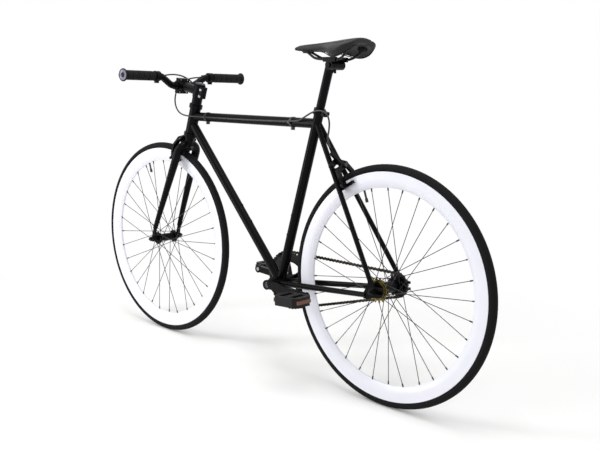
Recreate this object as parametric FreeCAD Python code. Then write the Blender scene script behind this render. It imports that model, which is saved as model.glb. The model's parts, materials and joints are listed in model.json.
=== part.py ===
import FreeCAD, Part
import math
import os
from FreeCAD import Matrix, Placement, Rotation, Vector

os.makedirs("parts", exist_ok=True)

# A fixed gear bicycle in millimetres and degrees: +X forward, +Y to the rider's left, +Z up.
# The origin is on the ground, midway between the axles, in the middle plane.

# Stance and drive
wheelbase = 994.0
bottom_bracket_drop = 58.5
chain_pitch = 12.7
chain_links = 96
ring_teeth = 44
cog_teeth = 16
chain_line = 43.0

# Frame tubes
seat_angle = 74.7
head_angle = 72.5
tube_diameter = 28.6
tube_wall = 1.6
seat_tube_length = 550.0
top_tube_height = 767.6
down_tube_height = 744.5
head_tube_diameter = 36.4
head_tube_wall = 2.2
head_tube_length = 87.0
shell_diameter = 40.0
shell_wall = 2.5
shell_length = 68.0
chainstay_front_diameter = 19.0
chainstay_rear_diameter = 14.6
chainstay_front_spread = 18.0
chainstay_end_ahead = 24.0
chainstay_end_below = 14.6
seatstay_top_diameter = 15.6
seatstay_foot_diameter = 13.6
seatstay_top_height = 768.0
seatstay_top_spread = 4.7
seatstay_top_behind = 4.0
seatstay_foot_ahead = 8.7
seatstay_foot_above = 20.0
stay_wall = 1.4
stay_plug = 14.0
dropout_thickness = 6.0
rear_spacing = 120.0
bridge_diameter = 14.0
stay_bridge_diameter = 10.0
stay_bridge_gap = 9.0
boss_pitch = 64.0
boss_hole_diameter = 4.2
boss_shank_diameter = 8.0
boss_flange_diameter = 11.0
boss_flange_height = 1.2
boss_depth = 9.0
down_boss_distance = 221.0
seat_boss_distance = 154.0

# Fork and headset
fork_offset = 22.0
fork_length = 392.0
front_spacing = 100.0
blade_top_diameter = 28.0
blade_foot_diameter = 16.0
blade_top_spread = 38.6
blade_bend_radius = 30.0
blade_shoulder_height = 331.0
blade_foot_above = 38.0
blade_foot_behind = 9.0
blade_wall = 1.6
blade_plug = 24.0
blade_vent_diameter = 4.0
fork_end_thickness = 5.0
fork_end_width = 19.0
steerer_diameter = 28.6
steerer_wall = 2.0
crown_diameter = 33.0
crown_depth = 49.0
cup_diameter = 44.0
lower_cup_height = 9.5
upper_cup_height = 12.0
bearing_thickness = 5.0
spacer_diameter = 34.0
spacer_heights = (10.0, 10.0, 5.0)
race_height = 3.0
race_diameter = 42.0
fork_end_top = 12.0
fork_end_taper = 0.55

# Stem, bar and grips
stem_length = 90.0
stem_drop_angle = 7.0
stem_clamp_height = 42.0
stem_clamp_diameter = 37.0
stem_body_diameter = 30.0
bar_clamp_diameter = 36.0
bar_clamp_width = 44.0
stem_ear_height = 7.0
stem_ear_depth = 18.0
stem_ear_inset = 1.0
faceplate_gap = 1.0
faceplate_bolt_spread = 28.0
faceplate_bolt_rise = 2.5
stem_bolt_diameter = 5.0
stem_bolt_head_diameter = 8.4
stem_bolt_head_height = 4.0
stem_bolt_bite = 8.0
pinch_lug_reach = 8.0
pinch_lug_width = 22.0
pinch_lug_inset = 2.0
pinch_slit = 2.0
pinch_bolt_spread = 22.0
pinch_bolt_behind = 3.5
cap_thickness = 4.5
cap_bolt_diameter = 6.0
cap_bolt_head_diameter = 10.0
cap_bolt_head_height = 2.5
cap_bolt_length = 25.0
bar_diameter = 22.2
bar_wall = 2.2
bar_sleeve_diameter = 25.4
bar_sleeve_width = 70.0
bar_half_width = 246.0
bar_rise = 29.0
bar_flat_half = 44.0
bar_bend_half = 92.0
bar_bend_back = 8.0
bar_end_back = 18.5
bar_bend_radius = 38.0
grip_length = 125.0
grip_diameter = 31.0
grip_flange_diameter = 41.0
grip_flange_width = 5.0
grip_end_wall = 2.5
grip_groove_count = 4
grip_groove_width = 2.6
grip_groove_depth = 1.0

# Wheels
tyre_radius = 336.0
tyre_width = 24.0
tyre_wall = 2.4
rim_edge_radius = 316.5
rim_depth = 44.0
rim_width = 20.8
rim_wall = 1.6
rim_channel_depth = 10.0
rim_channel_ramp = 2.5
rim_channel_step = 2.0
rim_nose_half = 4.2
rim_nose_rise = 3.0
rim_belly = 0.84
brake_track_height = 19.5
bead_depth = 7.8
tube_gap = 0.3
inner_tube_wall = 1.0
valve_diameter = 6.0
valve_reach = 22.0
valve_angle = 70.0
valve_cap_length = 11.0
valve_cap_diameter = 8.4
valve_bore_diameter = 2.0
spoke_count = 32
spoke_crosses = 3
spoke_diameter = 2.0
spoke_head_diameter = 4.0
spoke_lift = 1.8
nipple_diameter = 4.0
nipple_length = 12.0
nipple_sink = 3.0
rim_hole_stagger = 1.6
flange_thickness = 3.2
flange_edge = 4.0
front_flange_spread = 68.0
front_flange_circle = 35.0
front_shell_diameter = 26.0
front_end_diameter = 18.0
front_axle_diameter = 9.0
rear_flange_spread = 62.0
rear_flange_circle = 42.0
rear_shell_diameter = 33.0
rear_axle_diameter = 10.0
locknut_thickness = 7.0
axle_nut_height = 9.0
axle_nut_across = 15.0
washer_thickness = 1.8
axle_tail = 6.0
axle_tail_step = 0.5
hub_thread_diameter = 34.8
sprocket_thickness = 2.6
tooth_height = 3.3
tooth_tip_width = 1.6
lockring_thickness = 4.0
lockring_diameter = 41.0
freewheel_width = 11.5
freewheel_core_diameter = 45.0
freewheel_drum_wall = 3.6
freewheel_outside = 0.55

# Chain
roller_diameter = 7.75
valley_gap = 0.25
inner_plate_gap = 1.7
plate_thickness = 1.2
plate_height = 8.4
plate_waist = 5.6
plate_play = 0.1
pin_diameter = 3.6
pin_tail = 0.7

# Cranks and pedals
crank_length = 165.0
crank_angle = 181.5
spindle_diameter = 17.0
crank_boss_diameter = 30.0
crank_boss_inner = 47.0
crank_boss_width = 16.0
crank_arm_width = 23.0
crank_arm_thickness = 13.0
crank_eye_diameter = 25.0
crank_eye_offset = 10.0
spider_thickness = 4.0
spider_arm_width = 15.0
chainring_bolt_circle = 130.0
chainring_inner_diameter = 112.0
chainring_bolt_count = 5
chainring_bolt_diameter = 10.0
chainring_bolt_head = 1.5
chainring_bolt_lip = 1.4
crank_arm_inset = 2.0
crank_eye_taper = 0.85
crank_bolt_recess = 3.0
crank_bolt_height = 3.5
crank_bolt_diameter = 12.0
cup_lip = 3.0
cup_depth = 16.0
pedal_axle_diameter = 12.0
pedal_axle_flange = 16.0
pedal_stand_off = 13.0
pedal_length = 96.0
pedal_width = 72.0
pedal_height = 27.0
pedal_rim = 16.0
pedal_barrel_diameter = 25.0
pedal_pitch = 4.0
pedal_corner = 14.0
pedal_side_rail = 12.0
pedal_end_wall = 7.0
pedal_axle_end = 8.0
pedal_axle_neck = 4.0
reflector_length = 54.0
reflector_height = 11.0
reflector_depth = 4.0
reflector_gap = 0.1

# Seat
post_diameter = 25.4
post_wall = 2.0
post_insertion = 170.0
post_top_height = 926.0
cradle_back = 21.0
cradle_above = 5.0
cradle_diameter = 27.0
cradle_width = 34.0
collar_height = 18.0
collar_wall = 3.2
collar_lip = 2.0
collar_ear_width = 18.0
collar_ear_reach = 13.0
collar_bolt_diameter = 5.0
collar_bolt_head_diameter = 8.5
collar_bolt_head_height = 4.5
collar_nut_height = 3.5
collar_slit = 2.0
collar_ear_inset = 2.0
rail_diameter = 7.0
rail_spacing = 44.0
rail_rise = 15.0
clamp_thickness = 11.0
clamp_length = 44.0
clamp_rail_wall = 3.0
clamp_cheek_inset = 0.5
clamp_bolt_diameter = 8.0
clamp_bolt_head_diameter = 13.0
clamp_bolt_head_height = 4.0
post_neck_drop = 14.0
post_plug_depth = 16.0
post_screw_diameter = 6.4
post_screw_length = 9.0
saddle_nose_ahead = 154.0

# Brakes and cables
brake_reach = 359.0
brake_bolt_diameter = 6.0
front_brake_face = 17.2
rear_brake_face = 7.6
bracket_thickness = 3.6
arm_thickness = 8.0
arm_width = 15.0
arm_layer_gap = 0.6
pad_length = 46.0
pad_height = 8.5
pad_below_edge = 15.5
pad_thickness = 4.4
pad_holder_thickness = 3.0
pad_open_gap = 2.4
pad_bolt_diameter = 4.6
pad_bolt_head_height = 4.0
pad_bolt_stand = 1.6
arm_foot = 30.0
bracket_width = 14.0
brake_nut_diameter = 11.0
brake_nut_height = 5.0
brake_nut_gap = 0.5
side_pin_diameter = 5.0
side_pin_cap_diameter = 10.0
side_pin_cap_height = 2.5
anchor_diameter = 9.0
anchor_height = 5.0
lever_pivot_ahead = 30.0
lever_pivot_along = 2.0
lever_pivot_out = 112.0
lever_block_beyond = 8.0
lever_slot_behind = 10.0
lever_slot_wall = 4.0
lever_pin_tail = 1.5
lever_lug_length = 10.0
lever_lug_drop = 6.0
lever_lug_inset = 3.0
lever_thickness = 9.0
lever_width = 12.0
lever_pin_diameter = 5.0
lever_clamp_width = 18.0
lever_clamp_wall = 5.4
barrel_diameter = 8.0
barrel_length = 12.0
cable_diameter = 5.0
wire_diameter = 1.6
clip_wall = 1.5
clip_width = 10.0
clip_tab_width = 7.0
clip_tab_drop = 7.0
clip_screw_diameter = 6.0
clip_screw_height = 3.0
front_clip_x = 264.0
rear_clip_x = -125.0

# Fits
running_clearance = 0.05
seat_clearance = 0.02
body_gap = 0.3
hole_clearance = 0.15

# Outlines of the brake parts, in each brake's own frame or from the lever's pivot
lever_path = [(0.0, 0.0), (16.0, 24.0), (25.0, 60.0), (23.0, 102.0)]
side_pivot = (-22.0, -12.0)
barrel_place = (24.0, -40.0)
anchor_place = (41.0, -6.0)
near_arm_path = [(31.0, 10.0), (34.0, 33.0)]
far_arm_path = [(-36.0, 12.0), (-35.0, 33.0)]
far_arm_bend = (16.0, -21.0)
wire_start = (6.0, 7.2)
wire_stop = (-3.6, -4.4)

# The saddle from its nose: distance behind, half width, and heights of crown, edge, wing foot and hollow
# above the rails
saddle_stations = [
    (0, 6, 35, 33, 30, 30.5), (11, 14, 39, 33.5, 28, 28.6), (39, 19, 43, 34, 25, 25.6),
    (89, 23, 46, 35, 24, 25), (134, 35, 49, 35, 20, 28), (168, 56, 51.5, 30, 9, 33),
    (196, 71, 54, 26, 4, 36), (222, 73, 56, 30, 10, 38), (244, 64, 57, 39, 23, 39), (256, 48, 55.5, 45, 37, 42)]

# A rail's ends from the saddle's nose and from the clamp: along, out from the middle, above the straight part
rail_nose_points = [(-48, 8, 25), (-66, 11, 16), (-90, 17, 4)]
rail_tail_points = [(-44, 24.5, 4), (-60, 30, 15), (-69, 34, 29)]
rail_straight_ahead = 28.0
rail_straight_behind = 26.0
rail_sag = 0.6

# Hand-chosen points of the cables, between the straight ends that leave each barrel
cable_end_run = 24.0
front_cable_points = [
    (430.0, 38.0, 903.0), (431.0, 4.0, 905.0), (428.0, -30.0, 899.0),
    (420.0, -56.0, 883.0), (408.0, -66.0, 858.0), (395.0, -62.0, 831.0), (383.0, -51.0, 805.0),
    (371.0, -39.0, 780.0)]
loop_points = [
    (440.0, -44.0, 887.0), (440.0, -18.0, 868.0), (432.0, 4.0, 841.0),
    (418.0, 18.0, 811.0), (395.0, 25.0, 785.0)]
loop_end = (338.0, 21.0, 769.0)
top_run_front = 310.0
top_run_rear = -150.0
rear_cable_points = [
    (-184.0, 19.4, 782.0), (-218.0, 22.4, 799.0), (-250.0, 22.4, 807.0), (-275.0, 19.5, 799.0),
    (-286.0, 19.5, 776.0), (-286.0, 21.0, 750.0)]

up = Vector(0, 0, 1)
left = Vector(0, 1, 0)
ahead = Vector(1, 0, 0)
origin = Vector(0, 0, 0)


def rod(start, end, radius):
    return Part.makeCylinder(radius, (end - start).Length, start, end - start)


def pipe(start, end, outer, inner):
    return rod(start, end, outer).cut(rod(start, end, inner))


def cone(start, end, first, last):
    return Part.makeCone(first, last, (end - start).Length, start, end - start)


def unit(vector):
    return vector * (1.0 / vector.Length)


def frame_at(place, x_axis, z_axis):
    # A local frame with its origin at place; its y axis completes the right hand.
    y_axis = z_axis.cross(x_axis)
    return Placement(Matrix(
        x_axis.x, y_axis.x, z_axis.x, place.x,
        x_axis.y, y_axis.y, z_axis.y, place.y,
        x_axis.z, y_axis.z, z_axis.z, place.z,
        0, 0, 0, 1))


def placed(shape, placement):
    return shape.transformed(placement.toMatrix())


def mirrored(shape):
    return shape.mirror(origin, left)


def prism(points, thickness):
    # A straight extrusion of a closed outline.
    outline = Part.makePolygon(points + [points[0]])
    return Part.Face(outline).extrude(thickness)


def hexagon(centre, across, height, axis):
    # A hexagonal prism, across its flats, standing on centre along Y.
    corner = across / math.sqrt(3.0)
    points = []
    for k in range(6):
        turn = math.radians(60 * k)
        points.append(centre + Vector(corner * math.cos(turn), 0, corner * math.sin(turn)))
    return prism(points, axis * height)


def rounded_path(points, radius=None, share=0.45):
    # Straight runs joined by tangent arcs, each as large as its runs allow or of one given radius.
    edges = []
    radii = []
    here = points[0]
    for k in range(1, len(points) - 1):
        corner = points[k]
        before = corner - points[k - 1]
        after = points[k + 1] - corner
        half = before.getAngle(after) / 2.0
        bend = radius if radius else share * min(before.Length, after.Length) / math.tan(half)
        reach = bend * math.tan(half)
        inward = unit(unit(after) - unit(before))
        first = corner - unit(before) * reach
        last = corner + unit(after) * reach
        middle = corner + inward * (bend / math.cos(half) - bend)
        edges.append(Part.LineSegment(here, first).toShape())
        edges.append(Part.Arc(first, middle, last).toShape())
        radii.append(bend)
        here = last
    edges.append(Part.LineSegment(here, points[-1]).toShape())
    return Part.Wire(edges), radii


def swept(points, section_radius, radius=None):
    wire, radii = rounded_path(points, radius)
    ring = Part.Wire(Part.makeCircle(section_radius, points[0], points[1] - points[0]))
    return wire.makePipeShell([ring], True, False), wire, radii


def cable(name, points):
    tube, wire, radii = swept(points, cable_diameter / 2)
    section = math.pi * cable_diameter ** 2 / 4
    print(name, "length %.0f" % wire.Length, "volume ratio %.4f" % (tube.Volume / section / wire.Length),
          "radii", " ".join("%.0f" % r for r in radii))
    return tube


def save(name, solids):
    shapes = solids if isinstance(solids, list) else [solids]
    pieces = []
    for shape in shapes:
        pieces.extend(shape.Solids)
    whole = pieces[0] if len(pieces) == 1 else Part.makeCompound(pieces)
    bad = [k for k, piece in enumerate(pieces) if not piece.isValid()]
    note = "INVALID %s" % bad if bad else ""
    print("%-24s solids %3d  volume %9.0f %s" % (name, len(pieces), whole.Volume, note))
    whole.exportStep("parts/%s.step" % name)


# Places worked out from the sizes
axle_height = tyre_radius
rear_axle = Vector(-wheelbase / 2, 0, axle_height)
front_axle = Vector(wheelbase / 2, 0, axle_height)
head_turn = math.radians(head_angle)
steer_up = Vector(-math.cos(head_turn), 0, math.sin(head_turn))
steer_ahead = Vector(math.sin(head_turn), 0, math.cos(head_turn))
steer_foot = front_axle - steer_ahead * fork_offset
tube_radius = tube_diameter / 2
steerer_radius = steerer_diameter / 2


def steer(distance):
    return steer_foot + steer_up * distance


def steer_at(height):
    return steer((height - steer_foot.z) / steer_up.z)


def pitch_radius(teeth):
    return chain_pitch / (2 * math.sin(math.pi / teeth))


def chain_curve(centre_distance):
    # The pin line round both sprockets: chainring centre at 0, cog centre behind it.
    ring = pitch_radius(ring_teeth)
    cog = pitch_radius(cog_teeth)
    lean = math.asin((ring - cog) / centre_distance)
    run = centre_distance * math.cos(lean)
    cog_wrap = cog * (math.pi - 2 * lean)
    ring_wrap = ring * (math.pi + 2 * lean)
    behind = Vector(-centre_distance, 0, 0)
    upper = Vector(-math.sin(lean), 0, math.cos(lean))
    lower = Vector(-math.sin(lean), 0, -math.cos(lean))

    def at(distance):
        place = distance % (2 * run + cog_wrap + ring_wrap)
        if place < run:
            return upper * ring + (behind + upper * cog - upper * ring) * (place / run)
        place -= run
        if place < cog_wrap:
            turn = math.pi / 2 + lean + place / cog
            return behind + Vector(math.cos(turn), 0, math.sin(turn)) * cog
        place -= cog_wrap
        if place < run:
            return behind + lower * cog + (lower * ring - behind - lower * cog) * (place / run)
        turn = 1.5 * math.pi - lean + (place - run) / ring
        return Vector(math.cos(turn), 0, math.sin(turn)) * ring

    return at, 2 * run + cog_wrap + ring_wrap


def chain_pins(centre_distance):
    # Pins one pitch apart along the curve, and how far the last one overshoots the first.
    at, total = chain_curve(centre_distance)
    place = 0.0
    pins = []
    for k in range(chain_links):
        here = at(place)
        pins.append(here)
        low = place + 0.9 * chain_pitch
        high = place + 1.1 * chain_pitch
        for step in range(40):
            middle = (low + high) / 2
            if (at(middle) - here).Length < chain_pitch:
                low = middle
            else:
                high = middle
        place = low
    return pins, place - total


def chain_centre_distance():
    # The distance from cog to chainring that a chain of this many links closes on.
    low = (chain_links - (ring_teeth + cog_teeth) / 2) * chain_pitch / 2 - 2 * chain_pitch
    high = low + 3 * chain_pitch
    for step in range(40):
        middle = (low + high) / 2
        if chain_pins(middle)[1] > 0:
            low = middle
        else:
            high = middle
    return low


rear_centre = chain_centre_distance()
crank_centre = Vector(
    rear_axle.x + math.sqrt(rear_centre ** 2 - bottom_bracket_drop ** 2), 0, axle_height - bottom_bracket_drop)
seat_turn = math.radians(seat_angle)
seat_up = Vector(-math.cos(seat_turn), 0, math.sin(seat_turn))
seat_ahead = Vector(math.sin(seat_turn), 0, math.cos(seat_turn))


def seat(distance):
    return crank_centre + seat_up * distance


def seat_at(height):
    return seat((height - crank_centre.z) / seat_up.z)


head_low = fork_length + body_gap + lower_cup_height
head_high = head_low + head_tube_length
spacer_low = head_high + upper_cup_height + body_gap
stem_low = spacer_low + sum(spacer_heights)
stem_high = stem_low + stem_clamp_height
down_tube_end = steer_at(down_tube_height)
down_tube_way = unit(down_tube_end - crank_centre)
down_tube_above = Vector(-down_tube_way.z, 0, down_tube_way.x)
dropout_middle = rear_spacing / 2 + dropout_thickness / 2
fork_end_middle = front_spacing / 2 + fork_end_thickness / 2
stem_rise = math.radians(90 - head_angle - stem_drop_angle)
stem_way = Vector(math.cos(stem_rise), 0, math.sin(stem_rise))
stem_above = Vector(-math.sin(stem_rise), 0, math.cos(stem_rise))
stem_root = steer((stem_low + stem_high) / 2)
bar_centre = stem_root + stem_way * stem_length
bar_bend = bar_centre + Vector(-bar_bend_back, bar_bend_half, bar_rise)
bar_end = bar_centre + Vector(-bar_end_back, bar_half_width, bar_rise)
grip_way = unit(bar_end - bar_bend)
grip_ahead = grip_way.cross(up)
brake_drop = brake_reach - rim_edge_radius + pad_below_edge


def head_outer():
    return rod(steer(head_low), steer(head_high), head_tube_diameter / 2)


def seat_outer():
    return rod(crank_centre, seat(seat_tube_length), tube_radius)


def shell_outer():
    half = left * (shell_length / 2)
    return rod(crank_centre - half, crank_centre + half, shell_diameter / 2)


def boss_places():
    # Where each bottle boss stands on its tube's axis, and which way it faces.
    places = []
    for k in range(2):
        places.append((crank_centre + down_tube_way * (down_boss_distance + k * boss_pitch), down_tube_above))
        places.append((seat(seat_boss_distance + k * boss_pitch), seat_ahead))
    return places


def boss_holes():
    radius = boss_shank_diameter / 2 + seat_clearance
    return [rod(place, place + way * tube_diameter, radius) for place, way in boss_places()]


def head_tube():
    return pipe(steer(head_low), steer(head_high), head_tube_diameter / 2,
                head_tube_diameter / 2 - head_tube_wall)


def main_tube(start, end, blockers, bore=tube_radius - tube_wall):
    body = pipe(start, end, tube_radius, bore)
    for blocker in blockers:
        body = body.cut(blocker)
    return body


def top_tube():
    return main_tube(seat_at(top_tube_height), steer_at(top_tube_height), [head_outer(), seat_outer()])


def down_tube():
    blockers = [head_outer(), shell_outer(), seat_outer()] + boss_holes()
    return main_tube(crank_centre, down_tube_end, blockers)


def seat_tube():
    bore = post_diameter / 2 + running_clearance
    return main_tube(crank_centre, seat(seat_tube_length), [shell_outer()] + boss_holes(), bore)


def bottom_bracket_shell():
    half = left * (shell_length / 2)
    return pipe(crank_centre - half, crank_centre + half, shell_diameter / 2, shell_diameter / 2 - shell_wall)


def dropout(side):
    # A rear end plate, open to the rear, in the plane of both stays' ends.
    low = -chainstay_end_below
    fore = chainstay_end_ahead
    top = seatstay_foot_above
    mid = seatstay_foot_ahead
    outline = [(fore + 7, low - 10), (fore + 6, low + 9), (mid + 10, top - 8), (mid + 9, top + 6),
               (mid - 4, top + 10), (mid - 12, top - 6), (-28, 12), (-30, -12), (-8, -15), (fore - 8, low - 10)]
    inner = side * rear_spacing / 2
    points = [rear_axle + Vector(x, inner, z) for x, z in outline]
    plate = prism(points, left * side * dropout_thickness)
    slot_radius = rear_axle_diameter / 2 + hole_clearance
    tail = 40.0
    slot = Part.makeBox(tail, rear_spacing * 2, 2 * slot_radius,
                        rear_axle + Vector(-tail, -rear_spacing, -slot_radius))
    hole = rod(rear_axle - left * rear_spacing, rear_axle + left * rear_spacing, slot_radius)
    return plate.cut(slot).cut(hole)


def chainstay_line(side):
    start = crank_centre + left * side * chainstay_front_spread
    end = rear_axle + Vector(chainstay_end_ahead, side * dropout_middle, -chainstay_end_below)
    return start, end


def seatstay_line(side):
    start = seat_at(seatstay_top_height) + Vector(-seatstay_top_behind, side * seatstay_top_spread, 0)
    end = rear_axle + Vector(seatstay_foot_ahead, side * dropout_middle, seatstay_foot_above)
    return start, end


def hollow_stay(start, end, first, last):
    # A tapered tube, open at its start and plugged before its end.
    plug = end - unit(end - start) * stay_plug
    return cone(start, end, first, last).cut(cone(start, plug, first - stay_wall, last - stay_wall))


def chainstays():
    solids = []
    for side in (1, -1):
        start, end = chainstay_line(side)
        stay = hollow_stay(start, end, chainstay_front_diameter / 2, chainstay_rear_diameter / 2)
        plate = dropout(side)
        solids.append(stay.cut(shell_outer()).cut(plate))
        solids.append(plate)
    return solids


def seatstays():
    solids = []
    reach = 1000.0
    for side in (1, -1):
        start, end = seatstay_line(side)
        stay = hollow_stay(start, end, seatstay_top_diameter / 2, seatstay_foot_diameter / 2)
        low = seat_clearance if side > 0 else -reach
        half = Part.makeBox(2 * reach, reach - seat_clearance, 2 * reach, Vector(-reach, low, 0))
        top = rod(seat_at(top_tube_height), steer_at(top_tube_height), tube_radius)
        solids.append(stay.common(half).cut(seat_outer()).cut(top).cut(dropout(side)))
    return solids


def radial(axle, bolt):
    return unit(bolt - axle)


def rear_brake_bolt():
    # On the seatstays' middle line, at the brake's reach from the axle.
    start, end = seatstay_line(1)
    low = 0.0
    high = 1.0
    for step in range(40):
        middle = (low + high) / 2
        place = start + (end - start) * middle
        place.y = 0
        if (place - rear_axle).Length > brake_reach:
            low = middle
        else:
            high = middle
    return place


def front_brake_bolt():
    return steer(math.sqrt(brake_reach ** 2 - fork_offset ** 2))


def brake_frame(axle, bolt, face, cable_side):
    # Local x to the cable's side, y down to the axle, z out from the frame.
    away = radial(axle, bolt)
    side = left * cable_side
    out = side.cross(away * -1)
    return frame_at(bolt + out * face, side, out)


rear_brake = brake_frame(rear_axle, rear_brake_bolt(), rear_brake_face, 1)
front_brake = brake_frame(front_axle, front_brake_bolt(), front_brake_face, -1)


def bolt_hole(brake):
    through = Part.makeCylinder(brake_bolt_diameter / 2 + hole_clearance, 80, Vector(0, 0, -60))
    return placed(through, brake)


def bridges_and_bosses():
    solids = []
    start, end = seatstay_line(1)
    bolt = rear_brake_bolt()
    share = (bolt.z - start.z) / (end.z - start.z)
    reach = left * (start.y + (end.y - start.y) * share)
    bridge = rod(bolt - reach, bolt + reach, bridge_diameter / 2).cut(bolt_hole(rear_brake))
    for side in (1, -1):
        stay_start, stay_end = seatstay_line(side)
        bridge = bridge.cut(cone(stay_start, stay_end, seatstay_top_diameter / 2, seatstay_foot_diameter / 2))
    solids.append(bridge)
    start, end = chainstay_line(1)
    ahead = rear_axle.x + tyre_radius + stay_bridge_gap + stay_bridge_diameter / 2
    middle = start + (end - start) * ((ahead - start.x) / (end.x - start.x))
    centre = Vector(middle.x, 0, middle.z)
    low_bridge = rod(centre - left * middle.y, centre + left * middle.y, stay_bridge_diameter / 2)
    for side in (1, -1):
        stay_start, stay_end = chainstay_line(side)
        low_bridge = low_bridge.cut(
            cone(stay_start, stay_end, chainstay_front_diameter / 2, chainstay_rear_diameter / 2))
    solids.append(low_bridge)
    for place, way in boss_places():
        surface = place + way * tube_radius
        shank = rod(surface - way * boss_depth, surface, boss_shank_diameter / 2)
        flange = rod(surface, surface + way * boss_flange_height, boss_flange_diameter / 2)
        hole = rod(surface - way * (boss_depth + 1), surface + way * 3, boss_hole_diameter / 2)
        solids.append(shank.fuse(flange).cut(hole).removeSplitter())
    return solids


def headset():
    solids = []
    bearing_outer = steerer_radius + bearing_thickness
    spans = [(fork_length + body_gap, head_low), (head_high, head_high + upper_cup_height)]
    for low, high in spans:
        solids.append(pipe(steer(low), steer(high), cup_diameter / 2, bearing_outer))
        solids.append(pipe(steer(low + body_gap), steer(high - body_gap), bearing_outer - seat_clearance,
                           steerer_radius + running_clearance))
    return solids


def seat_collar():
    inner = tube_radius + seat_clearance
    outer = inner + collar_wall
    low = seat(seat_tube_length + collar_lip - collar_height)
    top = seat(seat_tube_length)
    high = seat(seat_tube_length + collar_lip)
    middle = (low + high) * 0.5
    frame = frame_at(middle, seat_ahead, seat_up)
    reach = outer + collar_ear_reach
    ear_height = collar_height - 2 * collar_ear_inset
    ears = Part.makeBox(reach, collar_ear_width, ear_height,
                        Vector(-reach, -collar_ear_width / 2, -ear_height / 2))
    split = Part.makeBox(reach, collar_slit, 2 * collar_height,
                         Vector(-reach, -collar_slit / 2, -collar_height))
    bolt_place = middle - seat_ahead * (outer + collar_ear_reach / 2)
    half = left * (collar_ear_width / 2)
    hole = rod(bolt_place - half, bolt_place + half, collar_bolt_diameter / 2 + seat_clearance)
    collar = rod(low, high, outer).fuse(placed(ears, frame))
    collar = collar.cut(rod(low, top, inner)).cut(rod(top, high, post_diameter / 2 + body_gap))
    collar = collar.cut(placed(split, frame)).cut(hole).removeSplitter()
    head = collar_bolt_head_diameter / 2
    shank = rod(bolt_place - half, bolt_place + half, collar_bolt_diameter / 2)
    cap = rod(bolt_place + half, bolt_place + half + left * collar_bolt_head_height, head)
    nut = rod(bolt_place - half - left * collar_nut_height, bolt_place - half, head)
    return [collar, shank.fuse([cap, nut]).removeSplitter()]


def bottom_bracket_cups():
    solids = []
    bore = spindle_diameter / 2 + running_clearance
    thread = shell_diameter / 2 - shell_wall - seat_clearance
    for side in (1, -1):
        way = left * side
        face = crank_centre + way * (shell_length / 2)
        inner = face - way * cup_depth
        outer = face + way * cup_lip
        cup = rod(inner, face, thread).fuse(rod(face, outer, shell_diameter / 2))
        solids.append(cup.cut(rod(inner, outer, bore)).removeSplitter())
    return solids


def axle_set(axle, diameter, spacing, plate):
    # A nutted axle with its locknuts inside the frame ends, washers and nuts outside.
    radius = diameter / 2
    bore = radius + seat_clearance
    half = left * (spacing / 2 + plate + washer_thickness + axle_nut_height)
    tail = half + left * axle_tail
    shaft = rod(axle - half, axle + half, radius)
    solids = [shaft.fuse(rod(axle - tail, axle + tail, radius - axle_tail_step)).removeSplitter()]
    for side in (1, -1):
        way = left * side
        inner = axle + way * (spacing / 2 - locknut_thickness)
        face = axle + way * spacing / 2
        outer = face + way * plate
        washer_end = outer + way * washer_thickness
        nut = hexagon(washer_end, axle_nut_across, axle_nut_height, way)
        solids.append(pipe(inner, face, axle_nut_across / 2, bore))
        solids.append(pipe(outer, washer_end, axle_nut_across * 0.7, bore))
        solids.append(nut.cut(rod(outer, washer_end + way * 2 * axle_nut_height, bore)))
    return solids


def sprocket(teeth, phase, centre, thickness, bore):
    # A flat toothed wheel with a valley for every chain pin, centred on its own plane.
    pitch = pitch_radius(teeth)
    valley = roller_diameter / 2 + valley_gap
    start = centre - left * (thickness / 2)

    def point(turn, out, along):
        ray = Vector(math.cos(turn), 0, math.sin(turn))
        across = Vector(-math.sin(turn), 0, math.cos(turn))
        return start + ray * out + across * along

    edges = []
    step = 2 * math.pi / teeth
    for k in range(teeth):
        turn = phase + k * step
        first = point(turn, pitch, -valley)
        bottom = point(turn, pitch - valley, 0)
        last = point(turn, pitch, valley)
        tip_in = point(turn + step / 2, pitch + tooth_height, -tooth_tip_width / 2)
        tip_out = point(turn + step / 2, pitch + tooth_height, tooth_tip_width / 2)
        following = point(turn + step, pitch, -valley)
        edges.append(Part.Arc(first, bottom, last).toShape())
        edges.append(Part.LineSegment(last, tip_in).toShape())
        edges.append(Part.LineSegment(tip_in, tip_out).toShape())
        edges.append(Part.LineSegment(tip_out, following).toShape())
    body = Part.Face(Part.Wire(edges)).extrude(left * thickness)
    return body.cut(rod(start - left, start + left * (thickness + 1), bore))


drive_way = unit(crank_centre - rear_axle)
drive_above = Vector(-drive_way.z, 0, drive_way.x)
drive_plane = left * -chain_line
pins = []
for pin in chain_pins(rear_centre)[0]:
    pins.append(crank_centre + drive_way * pin.x + drive_above * pin.z + drive_plane)


def phase_on(centre, teeth):
    # The angle of the pin that lies closest to this sprocket's pitch circle.
    radius = pitch_radius(teeth)
    rays = [pin - centre - drive_plane for pin in pins]
    ray = min(rays, key=lambda r: abs(r.Length - radius))
    return math.atan2(ray.z, ray.x)


def link_plate(low, hole):
    radius = plate_height / 2
    body = Part.makeCylinder(radius, plate_thickness, Vector(0, low, 0), left)
    body = body.fuse(Part.makeCylinder(radius, plate_thickness, Vector(chain_pitch, low, 0), left))
    waist = Part.makeBox(chain_pitch, plate_thickness, plate_waist, Vector(0, low, -plate_waist / 2))
    body = body.fuse(waist)
    for x in (0, chain_pitch):
        body = body.cut(Part.makeCylinder(hole, plate_thickness, Vector(x, low, 0), left))
    return body


def inner_link():
    hole = pin_diameter / 2 + plate_play
    body = link_plate(inner_plate_gap, hole).fuse(link_plate(-inner_plate_gap - plate_thickness, hole))
    for x in (0, chain_pitch):
        base = Vector(x, -inner_plate_gap, 0)
        roller = Part.makeCylinder(roller_diameter / 2, 2 * inner_plate_gap, base, left)
        body = body.fuse(roller.cut(Part.makeCylinder(hole, 2 * inner_plate_gap, base, left)))
    return body.removeSplitter()


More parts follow.
